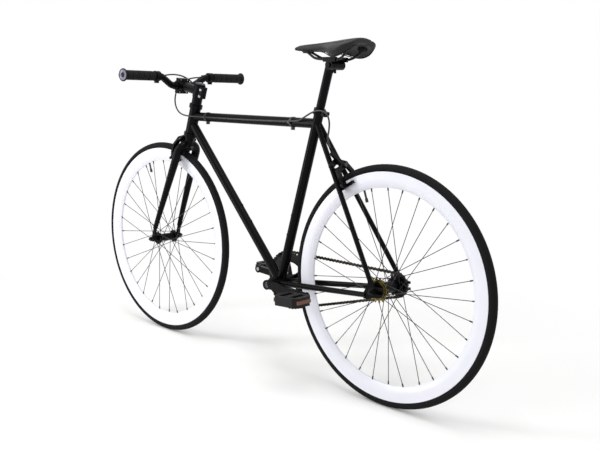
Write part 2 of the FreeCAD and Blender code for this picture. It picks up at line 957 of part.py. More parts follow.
def outer_link():
    low = inner_plate_gap + plate_thickness + plate_play
    reach = low + plate_thickness + pin_tail
    hole = pin_diameter / 2
    body = link_plate(low, hole).fuse(link_plate(-low - plate_thickness, hole))
    for x in (0, chain_pitch):
        body = body.fuse(Part.makeCylinder(hole, 2 * reach, Vector(x, -reach, 0), left))
    return body.removeSplitter()


def chain():
    links = [inner_link(), outer_link()]
    solids = []
    for k in range(chain_links):
        along = unit(pins[(k + 1) % chain_links] - pins[k])
        solids.append(placed(links[k % 2], frame_at(pins[k], along, along.cross(left))))
    return solids


def fixed_cog():
    centre = rear_axle + drive_plane
    bore = hub_thread_diameter / 2 + seat_clearance
    cog = sprocket(cog_teeth, phase_on(rear_axle, cog_teeth), centre, sprocket_thickness, bore)
    start = centre - left * (sprocket_thickness / 2 + seat_clearance)
    ring = pipe(start, start - left * lockring_thickness, lockring_diameter / 2, bore)
    return [cog, ring]


def freewheel_span():
    # The freewheel's teeth stand on the chain line, with most of its body outside them.
    outer = chain_line + freewheel_width * freewheel_outside
    return outer - freewheel_width, outer


def freewheel():
    low, high = freewheel_span()
    bore = freewheel_core_diameter / 2 + running_clearance
    teeth = sprocket(cog_teeth, 0.0, rear_axle + left * chain_line, sprocket_thickness, bore)
    drum = pipe(rear_axle + left * low, rear_axle + left * high, bore + freewheel_drum_wall, bore)
    return teeth.fuse(drum).removeSplitter()


def freewheel_core():
    low, high = freewheel_span()
    return pipe(rear_axle + left * low, rear_axle + left * high, freewheel_core_diameter / 2,
                hub_thread_diameter / 2 + seat_clearance)


rim_inner_radius = rim_edge_radius - rim_depth
spoke_step = 4 * math.pi / spoke_count
wheel_phase = math.radians(valve_angle) + spoke_step / 4


def polar(radius, turn, y):
    return Vector(radius * math.cos(turn), y, radius * math.sin(turn))


def outline_wire(steps):
    # A closed outline from corner points, where a pair of points is an arc's middle and end.
    edges = []
    here = steps[0]
    for step in steps[1:] + [steps[0]]:
        if isinstance(step, tuple):
            edges.append(Part.Arc(here, step[0], step[1]).toShape())
            here = step[1]
        else:
            edges.append(Part.LineSegment(here, step).toShape())
            here = step
    return Part.Wire(edges)


def turned(steps):
    # A solid of revolution about the wheel's axis; x is the radius and y the width.
    return Part.Face(outline_wire(steps)).revolve(origin, left, 360)


def at_wheel(radius, y):
    return Vector(radius, y, 0)


def tyre(axle):
    section = tyre_width / 2
    middle = tyre_radius - section
    seat_radius = rim_edge_radius + body_gap
    shoulder = math.sqrt(section ** 2 - (middle - seat_radius) ** 2)
    bead_outer = rim_width / 2 - rim_wall - body_gap
    bead_inner = bead_outer - tyre_wall
    bead_radius = rim_edge_radius - bead_depth
    hollow = section - tyre_wall
    hollow_low = middle - math.sqrt(hollow ** 2 - bead_inner ** 2)

    def on(radius, turn):
        return at_wheel(middle + radius * math.cos(turn), radius * math.sin(turn))

    crown = math.radians(65)
    steps = [
        at_wheel(bead_radius, bead_outer), at_wheel(seat_radius, bead_outer), at_wheel(seat_radius, shoulder),
        (on(section, crown), on(section, 0)), (on(section, -crown), at_wheel(seat_radius, -shoulder)),
        at_wheel(seat_radius, -bead_outer), at_wheel(bead_radius, -bead_outer),
        at_wheel(bead_radius, -bead_inner), at_wheel(hollow_low, -bead_inner),
        (on(hollow, -crown), on(hollow, 0)), (on(hollow, crown), at_wheel(hollow_low, bead_inner)),
        at_wheel(bead_radius, bead_inner)]
    return turned(steps).translated(axle)


def spoke_plan(flange_spread, flange_circle):
    # For every spoke: its hub end, rim end, the two ends of its elbow and its head's end.
    plan = []
    swing = spoke_crosses * spoke_step
    half = flange_thickness / 2
    for side in (1, -1):
        for k in range(spoke_count // 2):
            hub_turn = wheel_phase + k * spoke_step + (0 if side > 0 else spoke_step / 2)
            outside = k % 2 == 0
            rim_turn = hub_turn + (swing if outside else -swing)
            lift = half + spoke_diameter / 2 + (spoke_lift if outside else hole_clearance)
            facing = 1 if outside else -1
            start_y = side * (flange_spread / 2 + facing * lift)
            head_y = side * (flange_spread / 2 - facing * (half + hole_clearance))
            tip_y = side * (flange_spread / 2 - facing * (half + hole_clearance + spoke_diameter / 2))
            plan.append((
                polar(flange_circle / 2, hub_turn, start_y),
                polar(rim_inner_radius + nipple_sink, rim_turn, side * rim_hole_stagger),
                polar(flange_circle / 2, hub_turn, head_y),
                polar(flange_circle / 2, hub_turn, tip_y)))
    return plan


def rim(axle, plan):
    half = rim_width / 2
    track_low = rim_edge_radius - brake_track_height
    bed = rim_edge_radius - rim_channel_depth
    lip = half - rim_wall
    ramp = lip - rim_channel_ramp
    step = bed + rim_channel_step
    nose = rim_inner_radius + rim_nose_rise
    belly = (track_low + rim_inner_radius) / 2
    belly_half = half * rim_belly
    steps = [
        at_wheel(rim_edge_radius, half), at_wheel(track_low, half),
        (at_wheel(belly, belly_half), at_wheel(nose, rim_nose_half)),
        (at_wheel(rim_inner_radius, 0), at_wheel(nose, -rim_nose_half)),
        (at_wheel(belly, -belly_half), at_wheel(track_low, -half)), at_wheel(rim_edge_radius, -half),
        at_wheel(rim_edge_radius, -lip), at_wheel(step, -lip), at_wheel(bed, -ramp),
        at_wheel(bed, ramp), at_wheel(step, lip), at_wheel(rim_edge_radius, lip)]
    hollow_half = rim_nose_half - rim_wall
    hollow = []
    for side in (1, -1):
        corners = [at_wheel(bed - rim_wall, side * lip), at_wheel(track_low, side * lip),
                   at_wheel(belly, side * (belly_half - rim_wall)),
                   at_wheel(nose + rim_wall, side * hollow_half)]
        hollow += corners if side > 0 else corners[::-1]
    holes = []
    for start, end, head, tip in plan:
        reach = unit(end - start) * nipple_length
        holes.append(rod(end - reach, end + reach, nipple_diameter / 2 + hole_clearance))
    turn = math.radians(valve_angle)
    holes.append(rod(polar(rim_inner_radius - rim_wall, turn, 0), polar(rim_edge_radius, turn, 0),
                     valve_diameter / 2 + hole_clearance))
    return turned(steps).cut(turned(hollow)).cut(holes).translated(axle)


def spokes(axle, plan):
    solids = []
    radius = spoke_diameter / 2
    for start, end, head, tip in plan:
        way = unit(end - start)
        elbow = rod(start, tip, radius)
        knob = rod(head, tip, spoke_head_diameter / 2)
        spoke = rod(start, end, radius).fuse([elbow, knob]).removeSplitter()
        nipple = pipe(end - way * (nipple_length - 1), end + way, nipple_diameter / 2, radius + seat_clearance)
        solids.append(spoke.translated(axle))
        solids.append(nipple.translated(axle))
    return solids


def inner_tube(axle):
    middle = tyre_radius - tyre_width / 2
    outer = tyre_width / 2 - tyre_wall - tube_gap
    turn = math.radians(valve_angle)
    stem_end = rim_inner_radius - valve_reach
    ring = Part.makeTorus(middle, outer, origin, left)
    root = polar(middle - outer + inner_tube_wall / 2, turn, 0)
    stem = rod(polar(stem_end, turn, 0), root, valve_diameter / 2)
    air = Part.makeTorus(middle, outer - inner_tube_wall, origin, left)
    bore = rod(polar(stem_end, turn, 0), polar(middle, turn, 0), valve_bore_diameter / 2)
    tube = ring.fuse(stem).cut(air).cut(bore).removeSplitter()
    cap = rod(polar(stem_end - valve_cap_length, turn, 0), polar(stem_end, turn, 0), valve_cap_diameter / 2)
    return [tube.translated(axle), cap.translated(axle)]


def hub(axle, plan, spacing, spread, circle, shell, ends, axle_diameter):
    half_end = spacing / 2 - locknut_thickness - body_gap
    inner = spread / 2 - flange_thickness / 2
    outer = spread / 2 + flange_thickness / 2
    rim_radius = circle / 2 + flange_edge
    bore = axle_diameter / 2 + running_clearance
    profile = [(-half_end, ends / 2), (-outer, ends / 2), (-outer, rim_radius), (-inner, rim_radius),
               (-inner, shell / 2), (inner, shell / 2), (inner, rim_radius), (outer, rim_radius),
               (outer, ends / 2), (half_end, ends / 2), (half_end, bore), (-half_end, bore)]
    body = turned([at_wheel(radius, y) for y, radius in profile])
    holes = []
    for start, end, head, tip in plan:
        holes.append(rod(start, tip, spoke_diameter / 2 + hole_clearance))
    return body.cut(holes).translated(axle)


def fork_steerer():
    crown = rod(steer(fork_length - crown_depth), steer(fork_length - race_height), crown_diameter / 2)
    race = rod(steer(fork_length - race_height), steer(fork_length), race_diameter / 2)
    column = rod(steer(fork_length), steer(stem_high - race_height), steerer_radius)
    hollow = rod(steer(fork_length - race_height), steer(stem_high), steerer_radius - steerer_wall)
    return crown.fuse([race, column]).cut(hollow).cut(bolt_hole(front_brake)).removeSplitter()


def fork_end(side):
    # A stadium plate from the blade's foot to below the axle, slotted from below.
    foot = front_axle + Vector(-blade_foot_behind, 0, blade_foot_above)
    way = unit(foot - front_axle)
    inner = left * side * front_spacing / 2
    thick = left * side * fork_end_thickness
    across = way.cross(left) * (fork_end_width / 2)
    top = foot + way * fork_end_top
    narrow = across * fork_end_taper
    bar = prism([front_axle + inner - across, front_axle + inner + across, top + inner + narrow,
                 top + inner - narrow], thick)
    disc = rod(front_axle + inner, front_axle + inner + thick, fork_end_width / 2)
    slot_half = unit(across) * (front_axle_diameter / 2 + hole_clearance)
    low = front_axle - way * fork_end_width
    slot = prism([front_axle + inner - slot_half, front_axle + inner + slot_half, low + inner + slot_half,
                  low + inner - slot_half], thick)
    hole = rod(front_axle + inner, front_axle + inner + thick, front_axle_diameter / 2 + hole_clearance)
    return bar.fuse(disc).cut(slot).cut(hole).removeSplitter()


def fork_blade(side):
    # A bent shoulder out of the crown and a straight taper down to the fork end.
    out = left * side
    top = steer(blade_shoulder_height) + out * blade_top_spread
    foot = front_axle + Vector(-blade_foot_behind, side * fork_end_middle, blade_foot_above)
    down = unit(foot - top)
    inward = unit(down * out.dot(down) - out)
    above = unit(out * out.dot(down) - down)
    centre = top + inward * blade_bend_radius
    shoulder = centre + above * blade_bend_radius
    middle = centre + unit(above - inward) * blade_bend_radius
    start = Vector(shoulder.x, 0, shoulder.z)
    path = Part.Wire([Part.LineSegment(start, shoulder).toShape(), Part.Arc(shoulder, middle, top).toShape()])
    ring = Part.Wire(Part.makeCircle(blade_top_diameter / 2, start, shoulder - start))
    elbow = path.makePipeShell([ring], True, False)
    taper = cone(top, foot, blade_top_diameter / 2, blade_foot_diameter / 2)
    crown = rod(steer(fork_length - 2 * crown_depth), steer(fork_length), crown_diameter / 2)
    nut_end = -front_brake_face - crown_diameter / 2
    nut_room = Part.makeCylinder(brake_nut_diameter / 2 + body_gap, crown_diameter,
                                 Vector(0, 0, nut_end - crown_diameter))
    plug = foot - down * blade_plug
    hollow = cone(top, plug, blade_top_diameter / 2 - blade_wall, blade_foot_diameter / 2 - blade_wall)
    vent = rod(plug - down * blade_vent_diameter, plug - down * blade_vent_diameter - out * blade_foot_diameter,
               blade_vent_diameter / 2)
    cuts = [crown, fork_end(side), placed(nut_room, front_brake), bolt_hole(front_brake), hollow, vent]
    return elbow.fuse(taper).cut(cuts).removeSplitter()


def fork_blades():
    return [fork_blade(1), fork_blade(-1), fork_end(1), fork_end(-1)]


def headset_spacers():
    # The rings under the stem, and the top cap above it.
    solids = []
    low = spacer_low
    for height in spacer_heights:
        solids.append(pipe(steer(low), steer(low + height), spacer_diameter / 2,
                           steerer_radius + seat_clearance))
        low += height
    solids.append(pipe(steer(stem_high), steer(stem_high + cap_thickness), spacer_diameter / 2,
                       cap_bolt_diameter / 2 + hole_clearance))
    return solids


def stem_frame():
    return frame_at(bar_centre, stem_way, stem_above)


def pinch_frame():
    return frame_at(stem_root, steer_ahead, steer_up)


def faceplate_bolt_places():
    rise = bar_clamp_diameter / 2 + faceplate_bolt_rise
    half = faceplate_bolt_spread / 2
    return [Vector(0, y, z) for y in (-half, half) for z in (-rise, rise)]


def pinch_bolt_places():
    behind = -stem_clamp_diameter / 2 - pinch_bolt_behind
    half = pinch_bolt_spread / 2
    return [Vector(behind, 0, z) for z in (-half, half)]


def stem_bolt_holes():
    radius = stem_bolt_diameter / 2 + hole_clearance
    reach = stem_clamp_diameter
    holes = []
    for place in faceplate_bolt_places():
        hole = Part.makeCylinder(radius, 2 * reach, place - ahead * reach, ahead)
        holes.append(placed(hole, stem_frame()))
    for place in pinch_bolt_places():
        hole = Part.makeCylinder(radius, 2 * reach, place - left * reach, left)
        holes.append(placed(hole, pinch_frame()))
    return holes


def bar_hold():
    # The clamp round the bar, whole, with ears above and below for the faceplate bolts.
    width = bar_clamp_width
    ear = bar_clamp_diameter / 2 + stem_ear_height
    ear_width = width - 2 * stem_ear_inset
    clamp = Part.makeCylinder(bar_clamp_diameter / 2, width, left * (-width / 2), left)
    block = Part.makeBox(stem_ear_depth, ear_width, 2 * ear,
                         Vector(-stem_ear_depth / 2, -ear_width / 2, -ear))
    bore = Part.makeCylinder(bar_sleeve_diameter / 2 + seat_clearance, width, left * (-width / 2), left)
    return placed(clamp.fuse(block), stem_frame()), placed(bore, stem_frame())


def stem_half(side):
    # All space ahead of the faceplate's split, or with side -1 behind it.
    reach = 2 * stem_length
    low = faceplate_gap / 2 if side > 0 else -reach - faceplate_gap / 2
    return placed(Part.makeBox(reach, reach, reach, Vector(low, -reach / 2, -reach / 2)), stem_frame())


def stem():
    # The steerer clamp is split behind, between the two lugs of its pinch bolts.
    hold, bore = bar_hold()
    collar = rod(steer(stem_low), steer(stem_high), stem_clamp_diameter / 2)
    body = rod(stem_root, bar_centre, stem_body_diameter / 2)
    rear = stem_clamp_diameter / 2 + pinch_lug_reach
    height = stem_clamp_height - 2 * pinch_lug_inset
    lug = Part.makeBox(rear, pinch_lug_width, height, Vector(-rear, -pinch_lug_width / 2, -height / 2))
    slit = Part.makeBox(rear, pinch_slit, 2 * height, Vector(-rear, -pinch_slit / 2, -height))
    solid = collar.fuse([body, hold, placed(lug, pinch_frame())]).common(stem_half(-1))
    column = rod(steer(stem_low), steer(stem_high), steerer_radius + seat_clearance)
    return solid.cut([bore, column, placed(slit, pinch_frame())]).cut(stem_bolt_holes()).removeSplitter()


def stem_faceplate():
    hold, bore = bar_hold()
    return hold.common(stem_half(1)).cut(bore).cut(stem_bolt_holes()).removeSplitter()


def stem_bolt(length, axis, place):
    # A cap screw that ends at its head, length along from place.
    shank = Part.makeCylinder(stem_bolt_diameter / 2, length, place, axis)
    head = Part.makeCylinder(stem_bolt_head_diameter / 2, stem_bolt_head_height, place + axis * length, axis)
    return shank.fuse(head).removeSplitter()


def stem_bolts():
    # Four faceplate bolts, two steerer clamp bolts and the top cap's bolt.
    solids = []
    for place in faceplate_bolt_places():
        bolt = stem_bolt(stem_bolt_bite + stem_ear_depth / 2, ahead, place - ahead * stem_bolt_bite)
        solids.append(placed(bolt, stem_frame()))
    for place in pinch_bolt_places():
        bolt = stem_bolt(pinch_lug_width, left, place - left * (pinch_lug_width / 2))
        solids.append(placed(bolt, pinch_frame()))
    cap_top = stem_high + cap_thickness
    radius = cap_bolt_diameter / 2
    bolt = rod(steer(cap_top - cap_bolt_length), steer(cap_top), radius)
    head = rod(steer(cap_top), steer(cap_top + cap_bolt_head_height), cap_bolt_head_diameter / 2)
    solids.append(bolt.fuse(head).removeSplitter())
    return solids


def handlebar():
    flat = bar_centre + left * bar_flat_half
    points = [bar_end, bar_bend, flat]
    for point in (flat, bar_bend, bar_end):
        points.append(Vector(point.x, -point.y, point.z))
    outer = swept(points, bar_diameter / 2, bar_bend_radius)[0]
    inner = swept(points, bar_diameter / 2 - bar_wall, bar_bend_radius)[0]
    half = left * (bar_sleeve_width / 2)
    sleeve = rod(bar_centre - half, bar_centre + half, bar_sleeve_diameter / 2)
    return outer.fuse(sleeve).cut(inner).removeSplitter()


def grip():
    # Built along local z from its inner end to its closed outer end.
    body = Part.makeCylinder(grip_diameter / 2, grip_length)
    flange_start = grip_length - grip_flange_width
    body = body.fuse(Part.makeCylinder(grip_flange_diameter / 2, grip_flange_width, up * flange_start))
    pitch = flange_start / (grip_groove_count + 1)
    for k in range(grip_groove_count):
        low = Vector(0, 0, pitch * (k + 1) - grip_groove_width / 2)
        high = low + up * grip_groove_width
        body = body.cut(pipe(low, high, grip_diameter, grip_diameter / 2 - grip_groove_depth))
    body = body.cut(Part.makeCylinder(bar_diameter / 2 + seat_clearance, grip_length - grip_end_wall))
    start = bar_end + grip_way * (grip_end_wall - grip_length)
    return placed(body.removeSplitter(), frame_at(start, grip_ahead, grip_way))


def lever_frame():
    # Local x ahead of the bar, y out along the grip, z up.
    base = bar_bend + grip_way * ((lever_pivot_out - bar_bend_half) / grip_way.y)
    return frame_at(base, grip_ahead, up)


lever_pivot = Vector(lever_pivot_ahead, lever_pivot_along, 0)


def lever_clamp():
    half = lever_clamp_width / 2
    outer = bar_diameter / 2 + lever_clamp_wall
    ring = Part.makeCylinder(outer, lever_clamp_width, left * -half, left)
    block = Part.makeBox(lever_pivot_ahead + lever_block_beyond, lever_clamp_width, lever_clamp_width,
                         Vector(0, -half, -half))
    barrel = Part.makeCylinder(barrel_diameter / 2, barrel_length,
                               Vector(lever_pivot_ahead, -half - barrel_length, 0), left)
    lug = Part.makeBox(lever_lug_length, lever_clamp_width - 2 * lever_lug_inset, outer + lever_lug_drop,
                       Vector(-lever_lug_length / 2, lever_lug_inset - half, -outer - lever_lug_drop))
    slot_height = lever_thickness + 2 * body_gap
    slot = Part.makeBox(lever_pivot_ahead, lever_clamp_width, slot_height,
                        Vector(lever_pivot_ahead - lever_slot_behind, lever_slot_wall - half, -slot_height / 2))
    bore = Part.makeCylinder(bar_diameter / 2 + seat_clearance, lever_clamp_width, left * -half, left)
    pin_hole = Part.makeCylinder(lever_pin_diameter / 2 + seat_clearance, lever_clamp_width,
                                 lever_pivot - up * half)
    body = ring.fuse([block, barrel, lug]).cut([slot, bore, pin_hole]).removeSplitter()
    pin_length = lever_clamp_width + 2 * lever_pin_tail
    pin = Part.makeCylinder(lever_pin_diameter / 2, pin_length, lever_pivot - up * (pin_length / 2))
    return [placed(body, lever_frame()), placed(pin, lever_frame())]


def capsules(points, width, low, thickness):
    # A flat bar of round-ended stretches in the local x, y plane.
    pieces = []
    for k, point in enumerate(points):
        pieces.append(Part.makeCylinder(width / 2, thickness, Vector(point[0], point[1], low)))
        if k == 0:
            continue
        start = Vector(points[k - 1][0], points[k - 1][1], low)
        end = Vector(point[0], point[1], low)
        across = unit(up.cross(end - start)) * (width / 2)
        pieces.append(prism([start + across, start - across, end - across, end + across], up * thickness))
    return pieces[0].fuse(pieces[1:]).removeSplitter()


def brake_lever():
    path = [(lever_pivot.x + x, lever_pivot.y + y) for x, y in lever_path]
    blade = capsules(path, lever_width, -lever_thickness / 2, lever_thickness)
    hole = Part.makeCylinder(lever_pin_diameter / 2 + running_clearance, lever_thickness,
                             lever_pivot - up * (lever_thickness / 2))
    return placed(blade.cut(hole), lever_frame())


arm_low = bracket_thickness + arm_layer_gap
arm_high = arm_low + arm_thickness + arm_layer_gap
arm_top = arm_high + arm_thickness


def peg(place, radius, low, high):
    # A round peg across a brake's layers.
    return Part.makeCylinder(radius, high - low, Vector(place[0], place[1], low))


def brake_mount(brake, nut_face):
    # The centre bolt through the frame with its nuts, and the bracket that carries the side pivot.
    centre = (0, 0)
    radius = brake_bolt_diameter / 2
    nut = brake_nut_diameter / 2
    cap = arm_top + arm_layer_gap
    bolt = peg(centre, radius, -nut_face, cap).fuse([
        peg(centre, nut, cap, cap + brake_nut_height),
        peg(centre, nut, -nut_face - brake_nut_height, -nut_face)])
    bracket = capsules([centre, side_pivot], bracket_width, 0, bracket_thickness)
    bracket = bracket.cut(peg(centre, radius + seat_clearance, 0, bracket_thickness))
    pin = peg(side_pivot, side_pin_diameter / 2, 0, arm_high)
    pin = pin.fuse(peg(side_pivot, side_pin_cap_diameter / 2, arm_high, arm_high + side_pin_cap_height))
    return [placed(bolt.removeSplitter(), brake), placed(bracket.fuse(pin).removeSplitter(), brake)]


def pad_and_bolt(side, layer):
    # A brake pad beside the rim, the bolt that holds it and the bolt's hole in the arm.
    face = rim_width / 2 + pad_open_gap
    back = face + pad_thickness + pad_holder_thickness
    low = face if side > 0 else -back
    pad = Part.makeBox(back - face, pad_height, pad_length,
                       Vector(low, brake_drop - pad_height / 2, layer - pad_length / 2))
    way = ahead * side
    start = way * back + Vector(0, brake_drop, layer)
    length = arm_foot + arm_width / 2 + pad_bolt_stand - back
    bolt = Part.makeCylinder(pad_bolt_diameter / 2, length, start, way)
    head = Part.makeCylinder(pad_bolt_diameter, pad_bolt_head_height, start + way * length, way)
    hole = Part.makeCylinder(pad_bolt_diameter / 2 + seat_clearance, length, start, way)
    return pad, bolt.fuse(head).removeSplitter(), hole


barrel_stop = Vector(barrel_place[0], barrel_place[1] - arm_width / 2 - barrel_length,
                     arm_high + arm_thickness / 2)


def cable_side_arm(brake):
    layer = arm_high + arm_thickness / 2
    path = [barrel_place, (0, 0)] + near_arm_path + [(arm_foot, brake_drop)]
    arm = capsules(path, arm_width, arm_high, arm_thickness)
    barrel = Part.makeCylinder(barrel_diameter / 2, barrel_length + arm_width / 2, barrel_stop, left)
    pad, bolt, hole = pad_and_bolt(1, layer)
    pivot = peg((0, 0), brake_bolt_diameter / 2 + running_clearance, arm_high, arm_top)
    arm = arm.fuse(barrel).cut(pivot).cut(hole).removeSplitter()
    return [placed(shape, brake) for shape in (arm, pad, bolt)]


def far_side_arm(brake):
    layer = arm_low + arm_thickness / 2
    high = arm_low + arm_thickness
    path = [anchor_place, far_arm_bend, side_pivot] + far_arm_path + [(-arm_foot, brake_drop)]
    arm = capsules(path, arm_width, arm_low, arm_thickness)
    pad, bolt, hole = pad_and_bolt(-1, layer)
    pivot = peg(side_pivot, side_pin_diameter / 2 + running_clearance, arm_low, high)
    anchor = peg(anchor_place, anchor_diameter / 2, high, high + anchor_height)
    arm = arm.cut(pivot).cut(hole).fuse(anchor).removeSplitter()
    return [placed(shape, brake) for shape in (arm, pad, bolt)]


def cable_end(brake):
    # The two last points of a cable: straight down onto the barrel of the arm.
    return [brake.multVec(barrel_stop - left * cable_end_run), brake.multVec(barrel_stop)]


def brake_wire(brake):
    # The bare wire from the barrel arm down to the anchor.
    start = Vector(barrel_place[0] + wire_start[0], barrel_place[1] + wire_start[1],
                   arm_high + arm_thickness / 2)
    end = Vector(anchor_place[0] + wire_stop[0], anchor_place[1] + wire_stop[1],
                 arm_low + arm_thickness + anchor_height / 2)
    return placed(rod(start, end, wire_diameter / 2), brake)


def lever_exit(side):
    # The two first points of a cable, out of the barrel of the left lever, or with side -1 of the right.
    place = Vector(lever_pivot_ahead, -lever_clamp_width / 2 - barrel_length, 0)
    points = []
    for point in (place, place - left * cable_end_run):
        where = lever_frame().multVec(point)
        points.append(Vector(where.x, side * where.y, where.z))
    return points


def vectors(points):
    return [Vector(x, y, z) for x, y, z in points]


cable_side = tube_radius + cable_diameter / 2 + body_gap
top_run = [Vector(x, cable_side, top_tube_height) for x in (top_run_front, top_run_rear)]


def front_brake_cable():
    casing = cable("front brake cable", lever_exit(1) + vectors(front_cable_points) + cable_end(front_brake))
    return [casing, brake_wire(front_brake)]


def rear_cable_loop():
    # Its last run lines up with the first run along the top tube.
    end = Vector(*loop_end)
    before = end + (end - top_run[0])
    return cable("rear cable loop", lever_exit(-1) + vectors(loop_points) + [before, end])


def rear_brake_cable():
    points = [Vector(*loop_end)] + top_run + vectors(rear_cable_points) + cable_end(rear_brake)
    return [cable("rear brake cable", points), brake_wire(rear_brake)]


def cable_clips():
    # A band round the top tube with a loop for the cable and a screw tab below.
    solids = []
    inner = tube_radius + seat_clearance
    tab_low = top_tube_height - inner - clip_wall - clip_tab_drop
    loop = cable_diameter / 2 + body_gap
    half = clip_width / 2
    for x in (front_clip_x, rear_clip_x):
        low = Vector(x - half, 0, top_tube_height)
        high = Vector(x + half, 0, top_tube_height)
        aside = left * cable_side
        tab = Part.makeBox(clip_width, clip_tab_width, clip_tab_drop + clip_wall,
                           Vector(x - half, -clip_tab_width / 2, tab_low))
        band = rod(low, high, inner + clip_wall).fuse([rod(low + aside, high + aside, loop + clip_wall), tab])
        band = band.cut([rod(low, high, inner), rod(low + aside, high + aside, loop)]).removeSplitter()
        face = Vector(x, clip_tab_width / 2, tab_low + clip_tab_drop / 2)
        solids.extend([band, rod(face, face + left * clip_screw_height, clip_screw_diameter / 2)])
    return solids


def crank_spin(angle):
    return Placement(crank_centre, Rotation(left, -angle))


def crank_arm():
    # Built along local x with the rider's side outward on y.
    boss = Part.makeCylinder(crank_boss_diameter / 2, crank_boss_width, left * crank_boss_inner, left)
    eye_low = crank_boss_inner + crank_eye_offset
    eye = Part.makeCylinder(crank_eye_diameter / 2, crank_arm_thickness,
                            Vector(crank_length, eye_low, 0), left)
    sections = []
    root_low = crank_boss_inner + crank_arm_inset
    ends = [(0, root_low, crank_arm_width), (crank_length, eye_low, crank_arm_width * crank_eye_taper)]
    for x, low, width in ends:
        high = low + crank_arm_thickness
        sections.append(Part.makePolygon([
            Vector(x, low, -width / 2), Vector(x, high, -width / 2), Vector(x, high, width / 2),
            Vector(x, low, width / 2), Vector(x, low, -width / 2)]))
    arm = Part.makeLoft(sections, True, True)
    body = boss.fuse([eye, arm])
    reach = eye_low + crank_arm_thickness
    spindle_hole = Part.makeCylinder(spindle_diameter / 2 + seat_clearance, reach, origin, left)
    axle_hole = Part.makeCylinder(pedal_axle_diameter / 2 + seat_clearance, reach, ahead * crank_length, left)
    return body.cut([spindle_hole, axle_hole])


def bolt_turns():
    return [360.0 / chainring_bolt_count * k for k in range(chainring_bolt_count)]


spider_inner = -chain_line - sprocket_thickness / 2 - seat_clearance
spider_outer = spider_inner - spider_thickness


def spider():
    # Arms on the chainring's outer side, in the right crank's own frame.
    body = Part.makeCylinder(crank_boss_diameter / 2, spider_thickness, left * spider_outer, left)
    circle = chainring_bolt_circle / 2
    end = Vector(circle, spider_outer, 0)
    half = spider_arm_width / 2
    hole = chainring_bolt_diameter / 2 + seat_clearance
    for turn in bolt_turns():
        arm = Part.makeBox(circle, spider_thickness, spider_arm_width, Vector(0, spider_outer, -half))
        arm = arm.fuse(Part.makeCylinder(half, spider_thickness, end, left))
        arm = arm.cut(Part.makeCylinder(hole, spider_thickness, end, left))
        body = body.fuse(arm.rotated(origin, left, turn))
    return body.cut(Part.makeCylinder(spindle_diameter / 2 + seat_clearance, spider_thickness,
                                      left * spider_outer, left))


def crank_arms():
    right = mirrored(crank_arm()).fuse(spider()).removeSplitter()
    return [placed(crank_arm().removeSplitter(), crank_spin(crank_angle)),
            placed(right, crank_spin(crank_angle + 180))]


def chainring():
    ring = sprocket(ring_teeth, phase_on(crank_centre, ring_teeth), crank_centre + drive_plane,
                    sprocket_thickness, chainring_inner_diameter / 2)
    for turn in bolt_turns():
        hole = Part.makeCylinder(chainring_bolt_diameter / 2 + seat_clearance, 2 * chain_line,
                                 Vector(chainring_bolt_circle / 2, -2 * chain_line, 0), left)
        ring = ring.cut(placed(hole.rotated(origin, left, turn), crank_spin(crank_angle + 180)))
    return ring


spindle_end = crank_boss_inner + crank_boss_width - crank_bolt_recess


def crank_spindle():
    half = left * spindle_end
    return rod(crank_centre - half, crank_centre + half, spindle_diameter / 2)


def crank_bolts():
    # The chainring bolts and the two bolts that hold the arms on the spindle.
    solids = []
    inner = -chain_line + sprocket_thickness / 2
    radius = chainring_bolt_diameter / 2
    centre = ahead * (chainring_bolt_circle / 2)
    for turn in bolt_turns():
        shank = Part.makeCylinder(radius, inner - spider_outer, centre + left * spider_outer, left)
        heads = []
        for y in (inner, spider_outer - chainring_bolt_head):
            heads.append(Part.makeCylinder(radius + chainring_bolt_lip, chainring_bolt_head,
                                           centre + left * y, left))
        bolt = shank.fuse(heads).removeSplitter().rotated(origin, left, turn)
        solids.append(placed(bolt, crank_spin(crank_angle + 180)))
    for side in (1, -1):
        start = crank_centre + left * side * spindle_end
        solids.append(rod(start, start + left * side * crank_bolt_height, crank_bolt_diameter / 2))
    return solids


def pedal_centre(side):
    angle = math.radians(crank_angle if side > 0 else crank_angle + 180)
    return crank_centre + Vector(math.cos(angle), 0, math.sin(angle)) * crank_length


pedal_inner = crank_boss_inner + crank_eye_offset + crank_arm_thickness + pedal_stand_off


def pedal_axles():
    solids = []
    eye_outer = pedal_inner - pedal_stand_off
    for side in (1, -1):
        centre = pedal_centre(side)
        way = left * side
        axle = rod(centre + way * (eye_outer - crank_arm_thickness),
                   centre + way * (pedal_inner + pedal_width - pedal_axle_end), pedal_axle_diameter / 2)
        flange = rod(centre + way * eye_outer, centre + way * (pedal_inner - pedal_axle_neck),
                     pedal_axle_flange / 2)
        solids.append(axle.fuse(flange).removeSplitter())
    return solids


def pedal_frame(side):
    return Placement(pedal_centre(side), Rotation(left, pedal_pitch))


